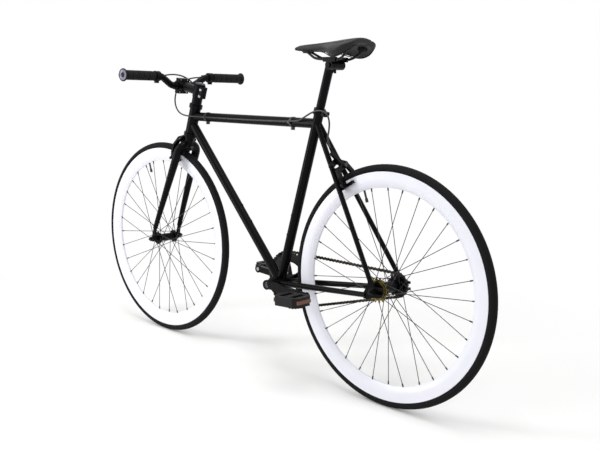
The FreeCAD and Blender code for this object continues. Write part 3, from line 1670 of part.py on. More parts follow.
def pedal_pieces():
    # A platform with two windows either side of the axle barrel, and a reflector in each end.
    length = pedal_length / 2
    corner = pedal_corner
    low = pedal_inner
    high = pedal_inner + pedal_width
    middle = (low + high) / 2
    outline = [(-length, low + corner), (-length + corner, low), (length - corner, low),
               (length, low + corner), (length, high - corner), (length - corner, high),
               (corner - length, high), (-length, high - corner)]
    body = prism([Vector(x, y, -pedal_height / 2) for x, y in outline], up * pedal_height)
    window = length - pedal_rim - pedal_barrel_diameter / 2
    window_width = pedal_width - 2 * pedal_side_rail
    reflectors = []
    for side in (1, -1):
        start = pedal_barrel_diameter / 2 if side > 0 else pedal_rim - length
        face = length - reflector_depth if side > 0 else -length
        body = body.cut([
            Part.makeBox(window, window_width, pedal_height,
                         Vector(start, middle - window_width / 2, -pedal_height / 2)),
            Part.makeBox(reflector_depth, reflector_length, reflector_height,
                         Vector(face, middle - reflector_length / 2, -reflector_height / 2))])
        size = reflector_length - 2 * reflector_gap
        height = reflector_height - 2 * reflector_gap
        reflectors.append(Part.makeBox(reflector_depth, size, height,
                                       Vector(face, middle - size / 2, -height / 2)))
    bore = Part.makeCylinder(pedal_axle_diameter / 2 + running_clearance, pedal_width - pedal_end_wall,
                             left * low, left)
    return body.cut(bore), reflectors


def pedal(side):
    body, reflectors = pedal_pieces()
    if side < 0:
        body = mirrored(body)
        reflectors = [mirrored(shape) for shape in reflectors]
    return placed(body, pedal_frame(side)), [placed(shape, pedal_frame(side)) for shape in reflectors]


cradle_centre = seat_at(post_top_height) + Vector(-cradle_back, 0, cradle_above)
rail_height = cradle_centre.z + rail_rise
saddle_nose = cradle_centre.x + saddle_nose_ahead


def seatpost():
    radius = post_diameter / 2
    low = seat(seat_tube_length - post_insertion)
    top = seat_at(post_top_height)
    half = left * (cradle_width / 2)
    post = pipe(low, top, radius, radius - post_wall)
    plug = rod(top - seat_up * post_plug_depth, top, radius)
    neck = rod(top - seat_up * post_neck_drop, cradle_centre, radius - 1)
    cradle = rod(cradle_centre - half, cradle_centre + half, cradle_diameter / 2)
    screw_end = cradle_centre - up * (cradle_diameter / 2 + post_screw_length)
    screw = rod(screw_end, cradle_centre, post_screw_diameter / 2)
    bore = rod(cradle_centre - half, cradle_centre + half, clamp_bolt_diameter / 2 + running_clearance)
    return post.fuse([plug, neck, cradle, screw]).cut(bore).removeSplitter()


def saddle_rail(side, radius):
    base = cradle_centre.x
    out = rail_spacing / 2
    points = [(saddle_nose + x, y, rail_height + z) for x, y, z in rail_nose_points]
    points.append((base + rail_straight_ahead, out, rail_height))
    points.append((base - rail_straight_behind, out, rail_height - rail_sag))
    points += [(base + x, y, rail_height + z) for x, y, z in rail_tail_points]
    return swept([Vector(x, side * y, z) for x, y, z in points], radius)[0]


def saddle_rails():
    return [saddle_rail(1, rail_diameter / 2), saddle_rail(-1, rail_diameter / 2)]


def saddle_clamp():
    # Two cheeks, each with a block round one rail, drawn together by a cross bolt.
    solids = []
    inner = cradle_width / 2 + body_gap
    outer = inner + clamp_thickness
    block_height = rail_diameter + 2 * clamp_rail_wall
    for side in (1, -1):
        way = left * side
        start = cradle_centre + way * inner
        end = cradle_centre + way * outer
        cheek = rod(start, end, cradle_diameter / 2 - clamp_cheek_inset)
        low_y = inner if side > 0 else -outer
        block = Part.makeBox(clamp_length, clamp_thickness, block_height,
                             Vector(cradle_centre.x - clamp_length / 2, low_y, rail_height - block_height / 2))
        hole = rod(start, end, clamp_bolt_diameter / 2 + seat_clearance)
        rail = saddle_rail(side, rail_diameter / 2 + seat_clearance)
        solids.append(cheek.fuse(block).cut([rail, hole]).removeSplitter())
    bolt = rod(cradle_centre - left * outer, cradle_centre + left * outer, clamp_bolt_diameter / 2)
    heads = []
    for side in (1, -1):
        face = cradle_centre + left * side * outer
        heads.append(rod(face, face + left * side * clamp_bolt_head_height, clamp_bolt_head_diameter / 2))
    solids.append(bolt.fuse(heads).removeSplitter())
    return solids


def saddle_section(behind, half, crown, edge, base, hollow):
    # One cross section: hollow underside, drawn-in sides and a crowned top.
    x = saddle_nose - behind
    tuck = min(0.16 * half + 2, half * 0.3)
    swell = half - tuck * 0.3
    crown_z = rail_height + crown
    edge_z = rail_height + edge
    base_z = rail_height + base
    middle_z = (base_z + edge_z) / 2
    low_left = Vector(x, half - tuck, base_z)
    edge_left = Vector(x, half, edge_z)
    edge_right = Vector(x, -half, edge_z)
    low_right = Vector(x, tuck - half, base_z)
    return Part.Wire([
        Part.Arc(low_left, Vector(x, swell, middle_z), edge_left).toShape(),
        Part.Arc(edge_left, Vector(x, 0, crown_z), edge_right).toShape(),
        Part.Arc(edge_right, Vector(x, -swell, middle_z), low_right).toShape(),
        Part.Arc(low_right, Vector(x, 0, rail_height + hollow), low_left).toShape()])


def saddle():
    body = Part.makeLoft([saddle_section(*station) for station in saddle_stations], True, False)
    for side in (1, -1):
        body = body.cut(saddle_rail(side, rail_diameter / 2 + seat_clearance))
    return body


front_plan = spoke_plan(front_flange_spread, front_flange_circle)
rear_plan = spoke_plan(rear_flange_spread, rear_flange_circle)
left_pedal, left_reflectors = pedal(1)
right_pedal, right_reflectors = pedal(-1)
print("rear centre %.2f" % rear_centre, "crank centre %.2f %.2f" % (crank_centre.x, crank_centre.z))

save("head_tube", head_tube())
save("top_tube", top_tube())
save("down_tube", down_tube())
save("seat_tube", seat_tube())
save("bottom_bracket_shell", bottom_bracket_shell())
save("chainstays", chainstays())
save("seatstays", seatstays())
save("bridges_and_bosses", bridges_and_bosses())
save("headset", headset())
save("seat_collar", seat_collar())
save("bottom_bracket_cups", bottom_bracket_cups())
save("rear_axle", axle_set(rear_axle, rear_axle_diameter, rear_spacing, dropout_thickness))
save("cable_clips", cable_clips())
save("rear_brake_mount", brake_mount(rear_brake, rear_brake_face + bridge_diameter / 2))
save("rear_brake_cable", rear_brake_cable())
save("rear_cable_loop", rear_cable_loop())
save("chain", chain())
save("fork_steerer", fork_steerer())
save("fork_blades", fork_blades())
save("headset_spacers", headset_spacers())
save("stem", stem())
save("stem_faceplate", stem_faceplate())
save("stem_bolts", stem_bolts())
save("handlebar", handlebar())
save("grips", [grip(), mirrored(grip())])
save("lever_clamps", lever_clamp() + [mirrored(shape) for shape in lever_clamp()])
save("front_brake_cable", front_brake_cable())
save("front_brake_mount", brake_mount(front_brake, front_brake_face + crown_diameter / 2 + brake_nut_gap))
save("front_axle", axle_set(front_axle, front_axle_diameter, front_spacing, fork_end_thickness))
for name, axle, plan in (("front", front_axle, front_plan), ("rear", rear_axle, rear_plan)):
    save(name + "_tyre", tyre(axle))
    save(name + "_inner_tube", inner_tube(axle))
    save(name + "_rim", rim(axle, plan))
    save(name + "_spokes", spokes(axle, plan))
save("front_hub", hub(front_axle, front_plan, front_spacing, front_flange_spread, front_flange_circle,
                      front_shell_diameter, front_end_diameter, front_axle_diameter))
save("rear_hub", hub(rear_axle, rear_plan, rear_spacing, rear_flange_spread, rear_flange_circle,
                     rear_shell_diameter, hub_thread_diameter, rear_axle_diameter))
save("fixed_cog", fixed_cog())
save("freewheel", freewheel())
save("freewheel_core", freewheel_core())
save("spindle_and_pedal_axles", [crank_spindle()] + pedal_axles())
save("crank_arms", crank_arms())
save("chainring", chainring())
save("crank_bolts", crank_bolts())
save("left_pedal", left_pedal)
save("left_pedal_reflectors", left_reflectors)
save("right_pedal", right_pedal)
save("right_pedal_reflectors", right_reflectors)
save("seatpost", seatpost())
save("saddle_clamp", saddle_clamp())
save("saddle_rails", saddle_rails())
save("saddle", saddle())
save("left_brake_lever", brake_lever())
save("right_brake_lever", mirrored(brake_lever()))
save("front_brake_right_arm", cable_side_arm(front_brake))
save("front_brake_left_arm", far_side_arm(front_brake))
save("rear_brake_left_arm", cable_side_arm(rear_brake))
save("rear_brake_right_arm", far_side_arm(rear_brake))
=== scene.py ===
import json
import math

import bpy
from mathutils import Matrix, Vector


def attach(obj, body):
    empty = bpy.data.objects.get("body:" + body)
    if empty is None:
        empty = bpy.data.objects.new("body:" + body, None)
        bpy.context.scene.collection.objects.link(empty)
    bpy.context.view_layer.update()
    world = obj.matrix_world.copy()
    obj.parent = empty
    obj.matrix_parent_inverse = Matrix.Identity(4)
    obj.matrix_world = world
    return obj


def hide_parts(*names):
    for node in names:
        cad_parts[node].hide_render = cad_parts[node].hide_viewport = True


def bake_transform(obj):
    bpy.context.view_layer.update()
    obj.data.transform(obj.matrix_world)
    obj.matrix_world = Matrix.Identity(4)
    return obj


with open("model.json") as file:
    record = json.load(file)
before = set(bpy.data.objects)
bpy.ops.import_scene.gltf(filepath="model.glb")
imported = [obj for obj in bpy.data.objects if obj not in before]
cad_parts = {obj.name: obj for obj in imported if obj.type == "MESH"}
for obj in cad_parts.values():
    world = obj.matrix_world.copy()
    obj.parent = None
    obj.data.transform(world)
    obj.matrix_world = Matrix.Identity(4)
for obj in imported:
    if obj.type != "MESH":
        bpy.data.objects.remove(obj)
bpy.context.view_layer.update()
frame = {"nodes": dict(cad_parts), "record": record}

nodes = frame["nodes"]
frontAxle = (0.497, 0.0, 0.336)
rearAxle = (-0.497, 0.0, 0.336)
print("bike frame loaded,", len(nodes), "nodes")


def deselect():
    if bpy.context.object and bpy.context.object.mode != "OBJECT":
        bpy.ops.object.mode_set(mode="OBJECT")
    bpy.ops.object.select_all(action="DESELECT")


def take(piece):
    deselect()
    piece.select_set(True)
    bpy.context.view_layer.objects.active = piece
    return piece


def settle(piece, place=None):
    # puts a finished piece where it belongs and bakes that place into its mesh
    take(piece)
    if place is not None:
        piece.matrix_world = place
    bpy.ops.object.transform_apply(location=True, rotation=True, scale=True)
    return piece


def addModifier(piece, name, kind, **settings):
    modifier = piece.modifiers.new(name, kind)
    for key, value in settings.items():
        setattr(modifier, key, value)


def applyAll(piece):
    take(piece)
    for modifier in list(piece.modifiers):
        bpy.ops.object.modifier_apply(modifier=modifier.name)
    return piece


def ownCopy(piece):
    # a copy with its own mesh
    copy = piece.copy()
    copy.data = piece.data.copy()
    bpy.context.scene.collection.objects.link(copy)
    return copy


def joinAll(pieces, name):
    take(pieces[0])
    for piece in pieces[1:]:
        piece.select_set(True)
    bpy.ops.object.join()
    joined = bpy.context.object
    joined.name = name
    return joined


def editFaces(piece, wanted):
    # goes into edit mode with only the wanted faces selected
    for face in piece.data.polygons:
        face.select = wanted(face)
    bpy.ops.object.mode_set(mode="EDIT")
    bpy.ops.mesh.select_mode(type="FACE")


# Camera, fitted to both wheels and the frame lines of the photo

photoCamera = {
    "place": (-1.7843, 1.7031, 0.8566),
    "yaw": -46.49, "pitch": 9.85, "roll": 1.26,
    "lens": 48.0, "sensor": 36.0, "shift": (-0.002, 0.0093), "clip": (0.05, 200.0),
}


def addCamera(look):
    yaw, pitch, roll = (math.radians(look[k]) for k in ("yaw", "pitch", "roll"))
    ahead = Vector((math.cos(yaw) * math.cos(pitch), math.sin(yaw) * math.cos(pitch), -math.sin(pitch)))
    right = ahead.cross(Vector((0, 0, 1))).normalized()
    above = right.cross(ahead)
    tiltedRight = right * math.cos(roll) + above * math.sin(roll)
    tiltedUp = above * math.cos(roll) - right * math.sin(roll)
    turn = Matrix((tiltedRight, tiltedUp, -ahead)).transposed().to_4x4()
    bpy.ops.object.camera_add()
    camera = bpy.context.object
    camera.name = "photoCamera"
    camera.matrix_world = Matrix.Translation(look["place"]) @ turn
    camera.data.lens = look["lens"]
    camera.data.sensor_width = look["sensor"]
    camera.data.shift_x, camera.data.shift_y = look["shift"]
    camera.data.clip_start, camera.data.clip_end = look["clip"]
    bpy.context.scene.camera = camera


deselect()
addCamera(photoCamera)
bpy.context.scene.view_settings.view_transform = "Standard"
print("camera set")


# Material tools: one adds a node, one turns sRGB hex to linear, one opens a material

def addNode(tree, kind, sockets, **settings):
    made = tree.nodes.new(kind)
    for name, value in settings.items():
        setattr(made, name, value)
    for socket, value in sockets.items():
        if isinstance(value, bpy.types.NodeSocket):
            tree.links.new(value, made.inputs[socket])
        else:
            made.inputs[socket].default_value = value
    return made


def linear(code):
    parts = [int(code[k:k + 2], 16) / 255 for k in (1, 3, 5)]
    return tuple(c / 12.92 if c <= 0.04045 else ((c + 0.055) / 1.055) ** 2.4 for c in parts) + (1.0,)


def perMm(size):
    # texture scale whose features are about that many millimetres across
    return 1000.0 / size


def openMaterial(name, **base):
    material = bpy.data.materials.new(name)
    material.use_nodes = True
    tree = material.node_tree
    tree.nodes.clear()
    shader = addNode(tree, "ShaderNodeBsdfPrincipled", base)
    addNode(tree, "ShaderNodeOutputMaterial", {"Surface": shader.outputs["BSDF"]})
    place = addNode(tree, "ShaderNodeTexCoord", {})
    return material, tree, shader, place.outputs["Object"]


# Floor, world and lamps

stageLook = {"size": 60.0, "floor": "#fafaf9", "fadeFrom": 0.6, "fadeTo": 1.6, "skyLight": 0.66}
lampLook = [
    # name, place, aim, width and height in metres, watts
    ("keySoftbox", (1.9, 2.6, 2.9), (0.1, 0.0, 0.5), (1.3, 1.3), 46.0),
    ("topSoftbox", (-0.5, 0.3, 3.3), (0.0, 0.0, 0.5), (1.6, 1.6), 40.0),
    # a low upright strip that draws the long streaks down the tubes
    ("leftStrip", (1.7, 2.0, 0.75), (0.0, 0.0, 0.6), (0.3, 1.3), 16.0),
]


def addFloor(look):
    bpy.ops.mesh.primitive_plane_add(size=look["size"])
    floor = bpy.context.object
    floor.name = "studioFloor"
    material, tree, shader, place = openMaterial("paper sweep", Roughness=0.75)
    shader.inputs["Base Color"].default_value = linear(look["floor"])
    shader.inputs["Specular IOR Level"].default_value = 0.1
    # far from the wheels the paper burns out to the white of the sky, and near them it keeps the shadow
    far = addNode(tree, "ShaderNodeVectorMath", {0: place}, operation="LENGTH")
    fade = addNode(tree, "ShaderNodeMapRange", {"Value": far.outputs["Value"], "From Min": look["fadeFrom"],
                                                "From Max": look["fadeTo"]}, interpolation_type="SMOOTHSTEP")
    rays = addNode(tree, "ShaderNodeLightPath", {})
    seen = addNode(tree, "ShaderNodeMath",
                   {0: rays.outputs["Is Camera Ray"], 1: rays.outputs["Is Glossy Ray"]},
                   operation="MAXIMUM")
    seenToo = addNode(tree, "ShaderNodeMath", {0: seen.outputs[0], 1: rays.outputs["Is Transmission Ray"]},
                      operation="MAXIMUM")
    share = addNode(tree, "ShaderNodeMath",
                    {0: seenToo.outputs[0], 1: fade.outputs["Result"]}, operation="MULTIPLY")
    white = addNode(tree, "ShaderNodeEmission", {"Color": (1, 1, 1, 1), "Strength": 1.0})
    mixed = addNode(tree, "ShaderNodeMixShader", {0: share.outputs[0], 1: shader.outputs["BSDF"],
                                                  2: white.outputs["Emission"]})
    out = next(n for n in tree.nodes if n.type == "OUTPUT_MATERIAL")
    tree.links.new(mixed.outputs["Shader"], out.inputs["Surface"])
    floor.data.materials.append(material)


def addSky(look):
    world = bpy.data.worlds.new("studio")
    bpy.context.scene.world = world
    world.use_nodes = True
    tree = world.node_tree
    tree.nodes.clear()
    rays = addNode(tree, "ShaderNodeLightPath", {})
    seen = addNode(tree, "ShaderNodeMath",
                   {0: rays.outputs["Is Camera Ray"], 1: rays.outputs["Is Transmission Ray"]},
                   operation="MAXIMUM")
    seenToo = addNode(tree, "ShaderNodeMath", {0: seen.outputs[0], 1: rays.outputs["Is Glossy Ray"]},
                      operation="MAXIMUM")
    strength = addNode(tree, "ShaderNodeMapRange", {"Value": seenToo.outputs[0], "To Min": look["skyLight"],
                                                    "To Max": 1.0})
    sky = addNode(tree, "ShaderNodeBackground",
                  {"Color": (1, 1, 1, 1), "Strength": strength.outputs["Result"]})
    addNode(tree, "ShaderNodeOutputWorld", {"Surface": sky.outputs["Background"]})


def addLamps(looks):
    for name, place, aim, size, watts in looks:
        bpy.ops.object.light_add(type="AREA", location=place)
        lamp = bpy.context.object
        lamp.name = name
        lamp.data.shape = "RECTANGLE"
        lamp.data.size, lamp.data.size_y = size
        lamp.data.energy = watts
        lamp.rotation_euler = (Vector(aim) - Vector(place)).to_track_quat("-Z", "Y").to_euler()


addFloor(stageLook)
addSky(stageLook)
addLamps(lampLook)
print("floor, sky and lamps set")


# Materials

def powderCoat():
    # black powder coated steel: satin, with the faint orange peel that softens the long highlights
    material, tree, shader, place = openMaterial("powder coated steel", Metallic=0.0, Roughness=0.3)
    shader.inputs["Specular IOR Level"].default_value = 0.07
    cloud = addNode(tree, "ShaderNodeTexNoise", {"Vector": place, "Scale": perMm(60), "Detail": 4.0})
    tone = addNode(tree, "ShaderNodeValToRGB", {"Fac": cloud.outputs["Fac"]})
    tone.color_ramp.elements[0].color = linear("#050506")
    tone.color_ramp.elements[1].color = linear("#0a0a0b")
    tree.links.new(tone.outputs["Color"], shader.inputs["Base Color"])
    rough = addNode(tree, "ShaderNodeMapRange",
                    {"Value": cloud.outputs["Fac"], "To Min": 0.24, "To Max": 0.31})
    tree.links.new(rough.outputs["Result"], shader.inputs["Roughness"])
    # peel is about 1.5 mm across, drawn at 2.5 mm so that it shows
    peel = addNode(tree, "ShaderNodeTexNoise", {"Vector": place, "Scale": perMm(2.5), "Detail": 1.0})
    bump = addNode(tree, "ShaderNodeBump",
                   {"Height": peel.outputs["Fac"], "Strength": 0.12, "Distance": 0.0004})
    tree.links.new(bump.outputs["Normal"], shader.inputs["Normal"])
    return material


def blackAnodised():
    # bead blasted and black anodised aluminium: dull sheen with a fine grain, drawn coarser so that it shows
    material, tree, shader, place = openMaterial("black anodised aluminium", Metallic=0.55, Roughness=0.36)
    shader.inputs["Specular IOR Level"].default_value = 0.12
    grain = addNode(tree, "ShaderNodeTexNoise", {"Vector": place, "Scale": perMm(1.2), "Detail": 3.0})
    tone = addNode(tree, "ShaderNodeValToRGB", {"Fac": grain.outputs["Fac"]})
    tone.color_ramp.elements[0].color = linear("#08080a")
    tone.color_ramp.elements[1].color = linear("#121215")
    tree.links.new(tone.outputs["Color"], shader.inputs["Base Color"])
    rough = addNode(tree, "ShaderNodeMapRange",
                    {"Value": grain.outputs["Fac"], "To Min": 0.3, "To Max": 0.44})
    tree.links.new(rough.outputs["Result"], shader.inputs["Roughness"])
    bump = addNode(tree, "ShaderNodeBump",
                   {"Height": grain.outputs["Fac"], "Strength": 0.1, "Distance": 0.0002})
    tree.links.new(bump.outputs["Normal"], shader.inputs["Normal"])
    return material


def blackOxide():
    # black oxide steel: nearly black, a little oily, brown in the hollows
    material, tree, shader, place = openMaterial("black oxide steel", Metallic=0.8, Roughness=0.35)
    cloud = addNode(tree, "ShaderNodeTexNoise", {"Vector": place, "Scale": perMm(9), "Detail": 5.0})
    tone = addNode(tree, "ShaderNodeValToRGB", {"Fac": cloud.outputs["Fac"]})
    tone.color_ramp.elements[0].color = linear("#17130f")
    tone.color_ramp.elements[1].color = linear("#26262a")
    tree.links.new(tone.outputs["Color"], shader.inputs["Base Color"])
    rough = addNode(tree, "ShaderNodeMapRange",
                    {"Value": cloud.outputs["Fac"], "To Min": 0.24, "To Max": 0.46})
    tree.links.new(rough.outputs["Result"], shader.inputs["Roughness"])
    return material


def zincPlate():
    # zinc plated steel: bright cool grey with cloudy patches
    material, tree, shader, place = openMaterial("zinc plated steel", Metallic=1.0, Roughness=0.28)
    cloud = addNode(tree, "ShaderNodeTexNoise", {"Vector": place, "Scale": perMm(4), "Detail": 4.0})
    tone = addNode(tree, "ShaderNodeValToRGB", {"Fac": cloud.outputs["Fac"]})
    tone.color_ramp.elements[0].color = linear("#7b7d82")
    tone.color_ramp.elements[1].color = linear("#b2b4b8")
    tree.links.new(tone.outputs["Color"], shader.inputs["Base Color"])
    rough = addNode(tree, "ShaderNodeMapRange", {"Value": cloud.outputs["Fac"], "To Min": 0.2, "To Max": 0.4})
    tree.links.new(rough.outputs["Result"], shader.inputs["Roughness"])
    return material


def goldPlate():
    # dull gold chromate on the freewheel: yellow brown metal, darker where oil has crept
    material, tree, shader, place = openMaterial("gold chromate steel", Metallic=1.0, Roughness=0.34)
    cloud = addNode(tree, "ShaderNodeTexNoise", {"Vector": place, "Scale": perMm(7), "Detail": 5.0})
    tone = addNode(tree, "ShaderNodeValToRGB", {"Fac": cloud.outputs["Fac"]})
    tone.color_ramp.elements[0].position = 0.3
    tone.color_ramp.elements[0].color = linear("#41391f")
    tone.color_ramp.elements[1].position = 0.65
    tone.color_ramp.elements[1].color = linear("#8a7c50")
    tree.links.new(tone.outputs["Color"], shader.inputs["Base Color"])
    rough = addNode(tree, "ShaderNodeMapRange",
                    {"Value": cloud.outputs["Fac"], "To Min": 0.45, "To Max": 0.26})
    tree.links.new(rough.outputs["Result"], shader.inputs["Roughness"])
    return material


def oiledChain():
    # dark chain steel under a film of oil, brownish on the plates
    material, tree, shader, place = openMaterial("oiled chain steel", Metallic=0.9, Roughness=0.36)
    cloud = addNode(tree, "ShaderNodeTexNoise", {"Vector": place, "Scale": perMm(5), "Detail": 4.0})
    tone = addNode(tree, "ShaderNodeValToRGB", {"Fac": cloud.outputs["Fac"]})
    tone.color_ramp.elements[0].color = linear("#15120f")
    tone.color_ramp.elements[1].color = linear("#3f372f")
    tree.links.new(tone.outputs["Color"], shader.inputs["Base Color"])
    rough = addNode(tree, "ShaderNodeMapRange",
                    {"Value": cloud.outputs["Fac"], "To Min": 0.26, "To Max": 0.5})
    tree.links.new(rough.outputs["Result"], shader.inputs["Roughness"])
    return material


def whiteRimPaint():
    # gloss white paint on aluminium, a little lavender, with a long faint peel drawn coarser so that it shows
    material, tree, shader, place = openMaterial("white rim paint", Metallic=0.0, Roughness=0.3)
    shader.inputs["Coat Weight"].default_value = 0.3
    shader.inputs["Coat Roughness"].default_value = 0.2
    cloud = addNode(tree, "ShaderNodeTexNoise", {"Vector": place, "Scale": perMm(45), "Detail": 3.0})
    tone = addNode(tree, "ShaderNodeValToRGB", {"Fac": cloud.outputs["Fac"]})
    tone.color_ramp.elements[0].color = linear("#dfe0ea")
    tone.color_ramp.elements[1].color = linear("#e8e8f0")
    tree.links.new(tone.outputs["Color"], shader.inputs["Base Color"])
    peel = addNode(tree, "ShaderNodeTexNoise", {"Vector": place, "Scale": perMm(9), "Detail": 1.0})
    bump = addNode(tree, "ShaderNodeBump",
                   {"Height": peel.outputs["Fac"], "Strength": 0.03, "Distance": 0.0004})
    tree.links.new(bump.outputs["Normal"], shader.inputs["Normal"])
    return material


def blackSpoke():
    # black painted stainless wire
    material, tree, shader, place = openMaterial("black spoke wire", Metallic=0.4, Roughness=0.38)
    cloud = addNode(tree, "ShaderNodeTexNoise", {"Vector": place, "Scale": perMm(12), "Detail": 2.0})
    tone = addNode(tree, "ShaderNodeValToRGB", {"Fac": cloud.outputs["Fac"]})
    tone.color_ramp.elements[0].color = linear("#161617")
    tone.color_ramp.elements[1].color = linear("#2b2b2d")
    tree.links.new(tone.outputs["Color"], shader.inputs["Base Color"])
    return material


# tread, in metres: rolling radius, chevron slant and spacing, and where the crown ends beside the middle
tyreLook = {"radius": 0.336, "slant": 1.4, "groovePitch": 0.0026, "crownEnd": 0.0072, "crownFull": 0.0062}


def tyreRubber(name, axle, look):
    # cured tyre rubber: matt black, with a fine file tread on the crown and a plain dusty sidewall
    material, tree, shader, place = openMaterial(name, Metallic=0.0, Roughness=0.72)
    shader.inputs["Specular IOR Level"].default_value = 0.12
    centred = addNode(tree, "ShaderNodeVectorMath", {0: place, 1: axle}, operation="SUBTRACT")
    axes = addNode(tree, "ShaderNodeSeparateXYZ", {"Vector": centred.outputs["Vector"]})
    turn = addNode(tree, "ShaderNodeMath", {0: axes.outputs["Z"], 1: axes.outputs["X"]}, operation="ARCTAN2")
    along = addNode(tree, "ShaderNodeMath", {0: turn.outputs[0], 1: look["radius"]}, operation="MULTIPLY")
    side = addNode(tree, "ShaderNodeMath", {0: axes.outputs["Y"]}, operation="ABSOLUTE")
    slant = addNode(tree, "ShaderNodeMath",
                    {0: side.outputs[0], 1: look["slant"], 2: along.outputs[0]}, operation="MULTIPLY_ADD")
    phase = addNode(tree, "ShaderNodeMath",
                    {0: slant.outputs[0], 1: 2 * math.pi / look["groovePitch"]}, operation="MULTIPLY")
    wave = addNode(tree, "ShaderNodeMath", {0: phase.outputs[0]}, operation="SINE")
    crown = addNode(tree, "ShaderNodeMapRange",
                    {"Value": side.outputs[0], "From Min": look["crownEnd"], "From Max": look["crownFull"]})
    tread = addNode(tree, "ShaderNodeMath",
                    {0: wave.outputs[0], 1: crown.outputs["Result"]}, operation="MULTIPLY")
    dust = addNode(tree, "ShaderNodeTexNoise", {"Vector": place, "Scale": perMm(26), "Detail": 5.0})
    tone = addNode(tree, "ShaderNodeValToRGB", {"Fac": dust.outputs["Fac"]})
    tone.color_ramp.elements[0].color = linear("#0a0a0a")
    tone.color_ramp.elements[1].color = linear("#141415")
    tree.links.new(tone.outputs["Color"], shader.inputs["Base Color"])
    bump = addNode(tree, "ShaderNodeBump", {"Height": tread.outputs[0], "Strength": 0.5, "Distance": 0.0005})
    tree.links.new(bump.outputs["Normal"], shader.inputs["Normal"])
    return material


def innerTubeRubber():
    # butyl tube and its capped valve: soft sheen, talc dust
    material, tree, shader, place = openMaterial("butyl rubber", Metallic=0.0, Roughness=0.55)
    dust = addNode(tree, "ShaderNodeTexNoise", {"Vector": place, "Scale": perMm(8), "Detail": 4.0})
    tone = addNode(tree, "ShaderNodeValToRGB", {"Fac": dust.outputs["Fac"]})
    tone.color_ramp.elements[0].color = linear("#141414")
    tone.color_ramp.elements[1].color = linear("#252525")
    tree.links.new(tone.outputs["Color"], shader.inputs["Base Color"])
    return material


def gripRubber():
    # moulded grip rubber: matt black with a fine pebble grain
    material, tree, shader, place = openMaterial("moulded grip rubber", Metallic=0.0, Roughness=0.58)
    shader.inputs["Specular IOR Level"].default_value = 0.18
    pebble = addNode(tree, "ShaderNodeTexVoronoi", {"Vector": place, "Scale": perMm(1.6)})
    dust = addNode(tree, "ShaderNodeTexNoise", {"Vector": place, "Scale": perMm(14), "Detail": 4.0})
    tone = addNode(tree, "ShaderNodeValToRGB", {"Fac": dust.outputs["Fac"]})
    tone.color_ramp.elements[0].color = linear("#0b0b0c")
    tone.color_ramp.elements[1].color = linear("#171719")
    tree.links.new(tone.outputs["Color"], shader.inputs["Base Color"])
    bump = addNode(tree, "ShaderNodeBump", {"Height": pebble.outputs["Distance"], "Strength": 0.35,
                                            "Distance": 0.0004})
    tree.links.new(bump.outputs["Normal"], shader.inputs["Normal"])
    return material


def cableCasing():
    # extruded black PVC casing: smooth, half gloss
    material, tree, shader, place = openMaterial("black PVC casing", Metallic=0.0, Roughness=0.34)
    cloud = addNode(tree, "ShaderNodeTexNoise", {"Vector": place, "Scale": perMm(20), "Detail": 3.0})
    tone = addNode(tree, "ShaderNodeValToRGB", {"Fac": cloud.outputs["Fac"]})
    tone.color_ramp.elements[0].color = linear("#0f0f10")
    tone.color_ramp.elements[1].color = linear("#1b1b1d")
    tree.links.new(tone.outputs["Color"], shader.inputs["Base Color"])
    rough = addNode(tree, "ShaderNodeMapRange",
                    {"Value": cloud.outputs["Fac"], "To Min": 0.28, "To Max": 0.42})
    tree.links.new(rough.outputs["Result"], shader.inputs["Roughness"])
    return material


def mouldedNylon():
    # glass filled nylon from a spark eroded mould: grey black, its dry grit drawn coarser so that it shows
    material, tree, shader, place = openMaterial("moulded nylon", Metallic=0.0, Roughness=0.5)
    shader.inputs["Specular IOR Level"].default_value = 0.2
    grain = addNode(tree, "ShaderNodeTexNoise", {"Vector": place, "Scale": perMm(0.9), "Detail": 2.0})
    tone = addNode(tree, "ShaderNodeValToRGB", {"Fac": grain.outputs["Fac"]})
    tone.color_ramp.elements[0].color = linear("#0a0a0a")
    tone.color_ramp.elements[1].color = linear("#151516")
    tree.links.new(tone.outputs["Color"], shader.inputs["Base Color"])
    bump = addNode(tree, "ShaderNodeBump",
                   {"Height": grain.outputs["Fac"], "Strength": 0.3, "Distance": 0.0003})
    tree.links.new(bump.outputs["Normal"], shader.inputs["Normal"])
    return material


def amberReflector():
    # amber acrylic over a mould of corner prisms, 3 mm across
    material, tree, shader, place = openMaterial("amber acrylic reflector", Metallic=0.0, Roughness=0.12)
    shader.inputs["Coat Weight"].default_value = 0.25
    shader.inputs["Coat Roughness"].default_value = 0.05
    prism = addNode(tree, "ShaderNodeTexVoronoi", {"Vector": place, "Scale": perMm(3.0), "Randomness": 0.0})
    tone = addNode(tree, "ShaderNodeValToRGB", {"Fac": prism.outputs["Distance"]})
    tone.color_ramp.elements[0].color = linear("#7d3f10")
    tone.color_ramp.elements[1].color = linear("#4c2107")
    tree.links.new(tone.outputs["Color"], shader.inputs["Base Color"])
    bump = addNode(tree, "ShaderNodeBump",
                   {"Height": prism.outputs["Distance"], "Strength": 0.6, "Distance": 0.0008})
    tree.links.new(bump.outputs["Normal"], shader.inputs["Normal"])
    return material


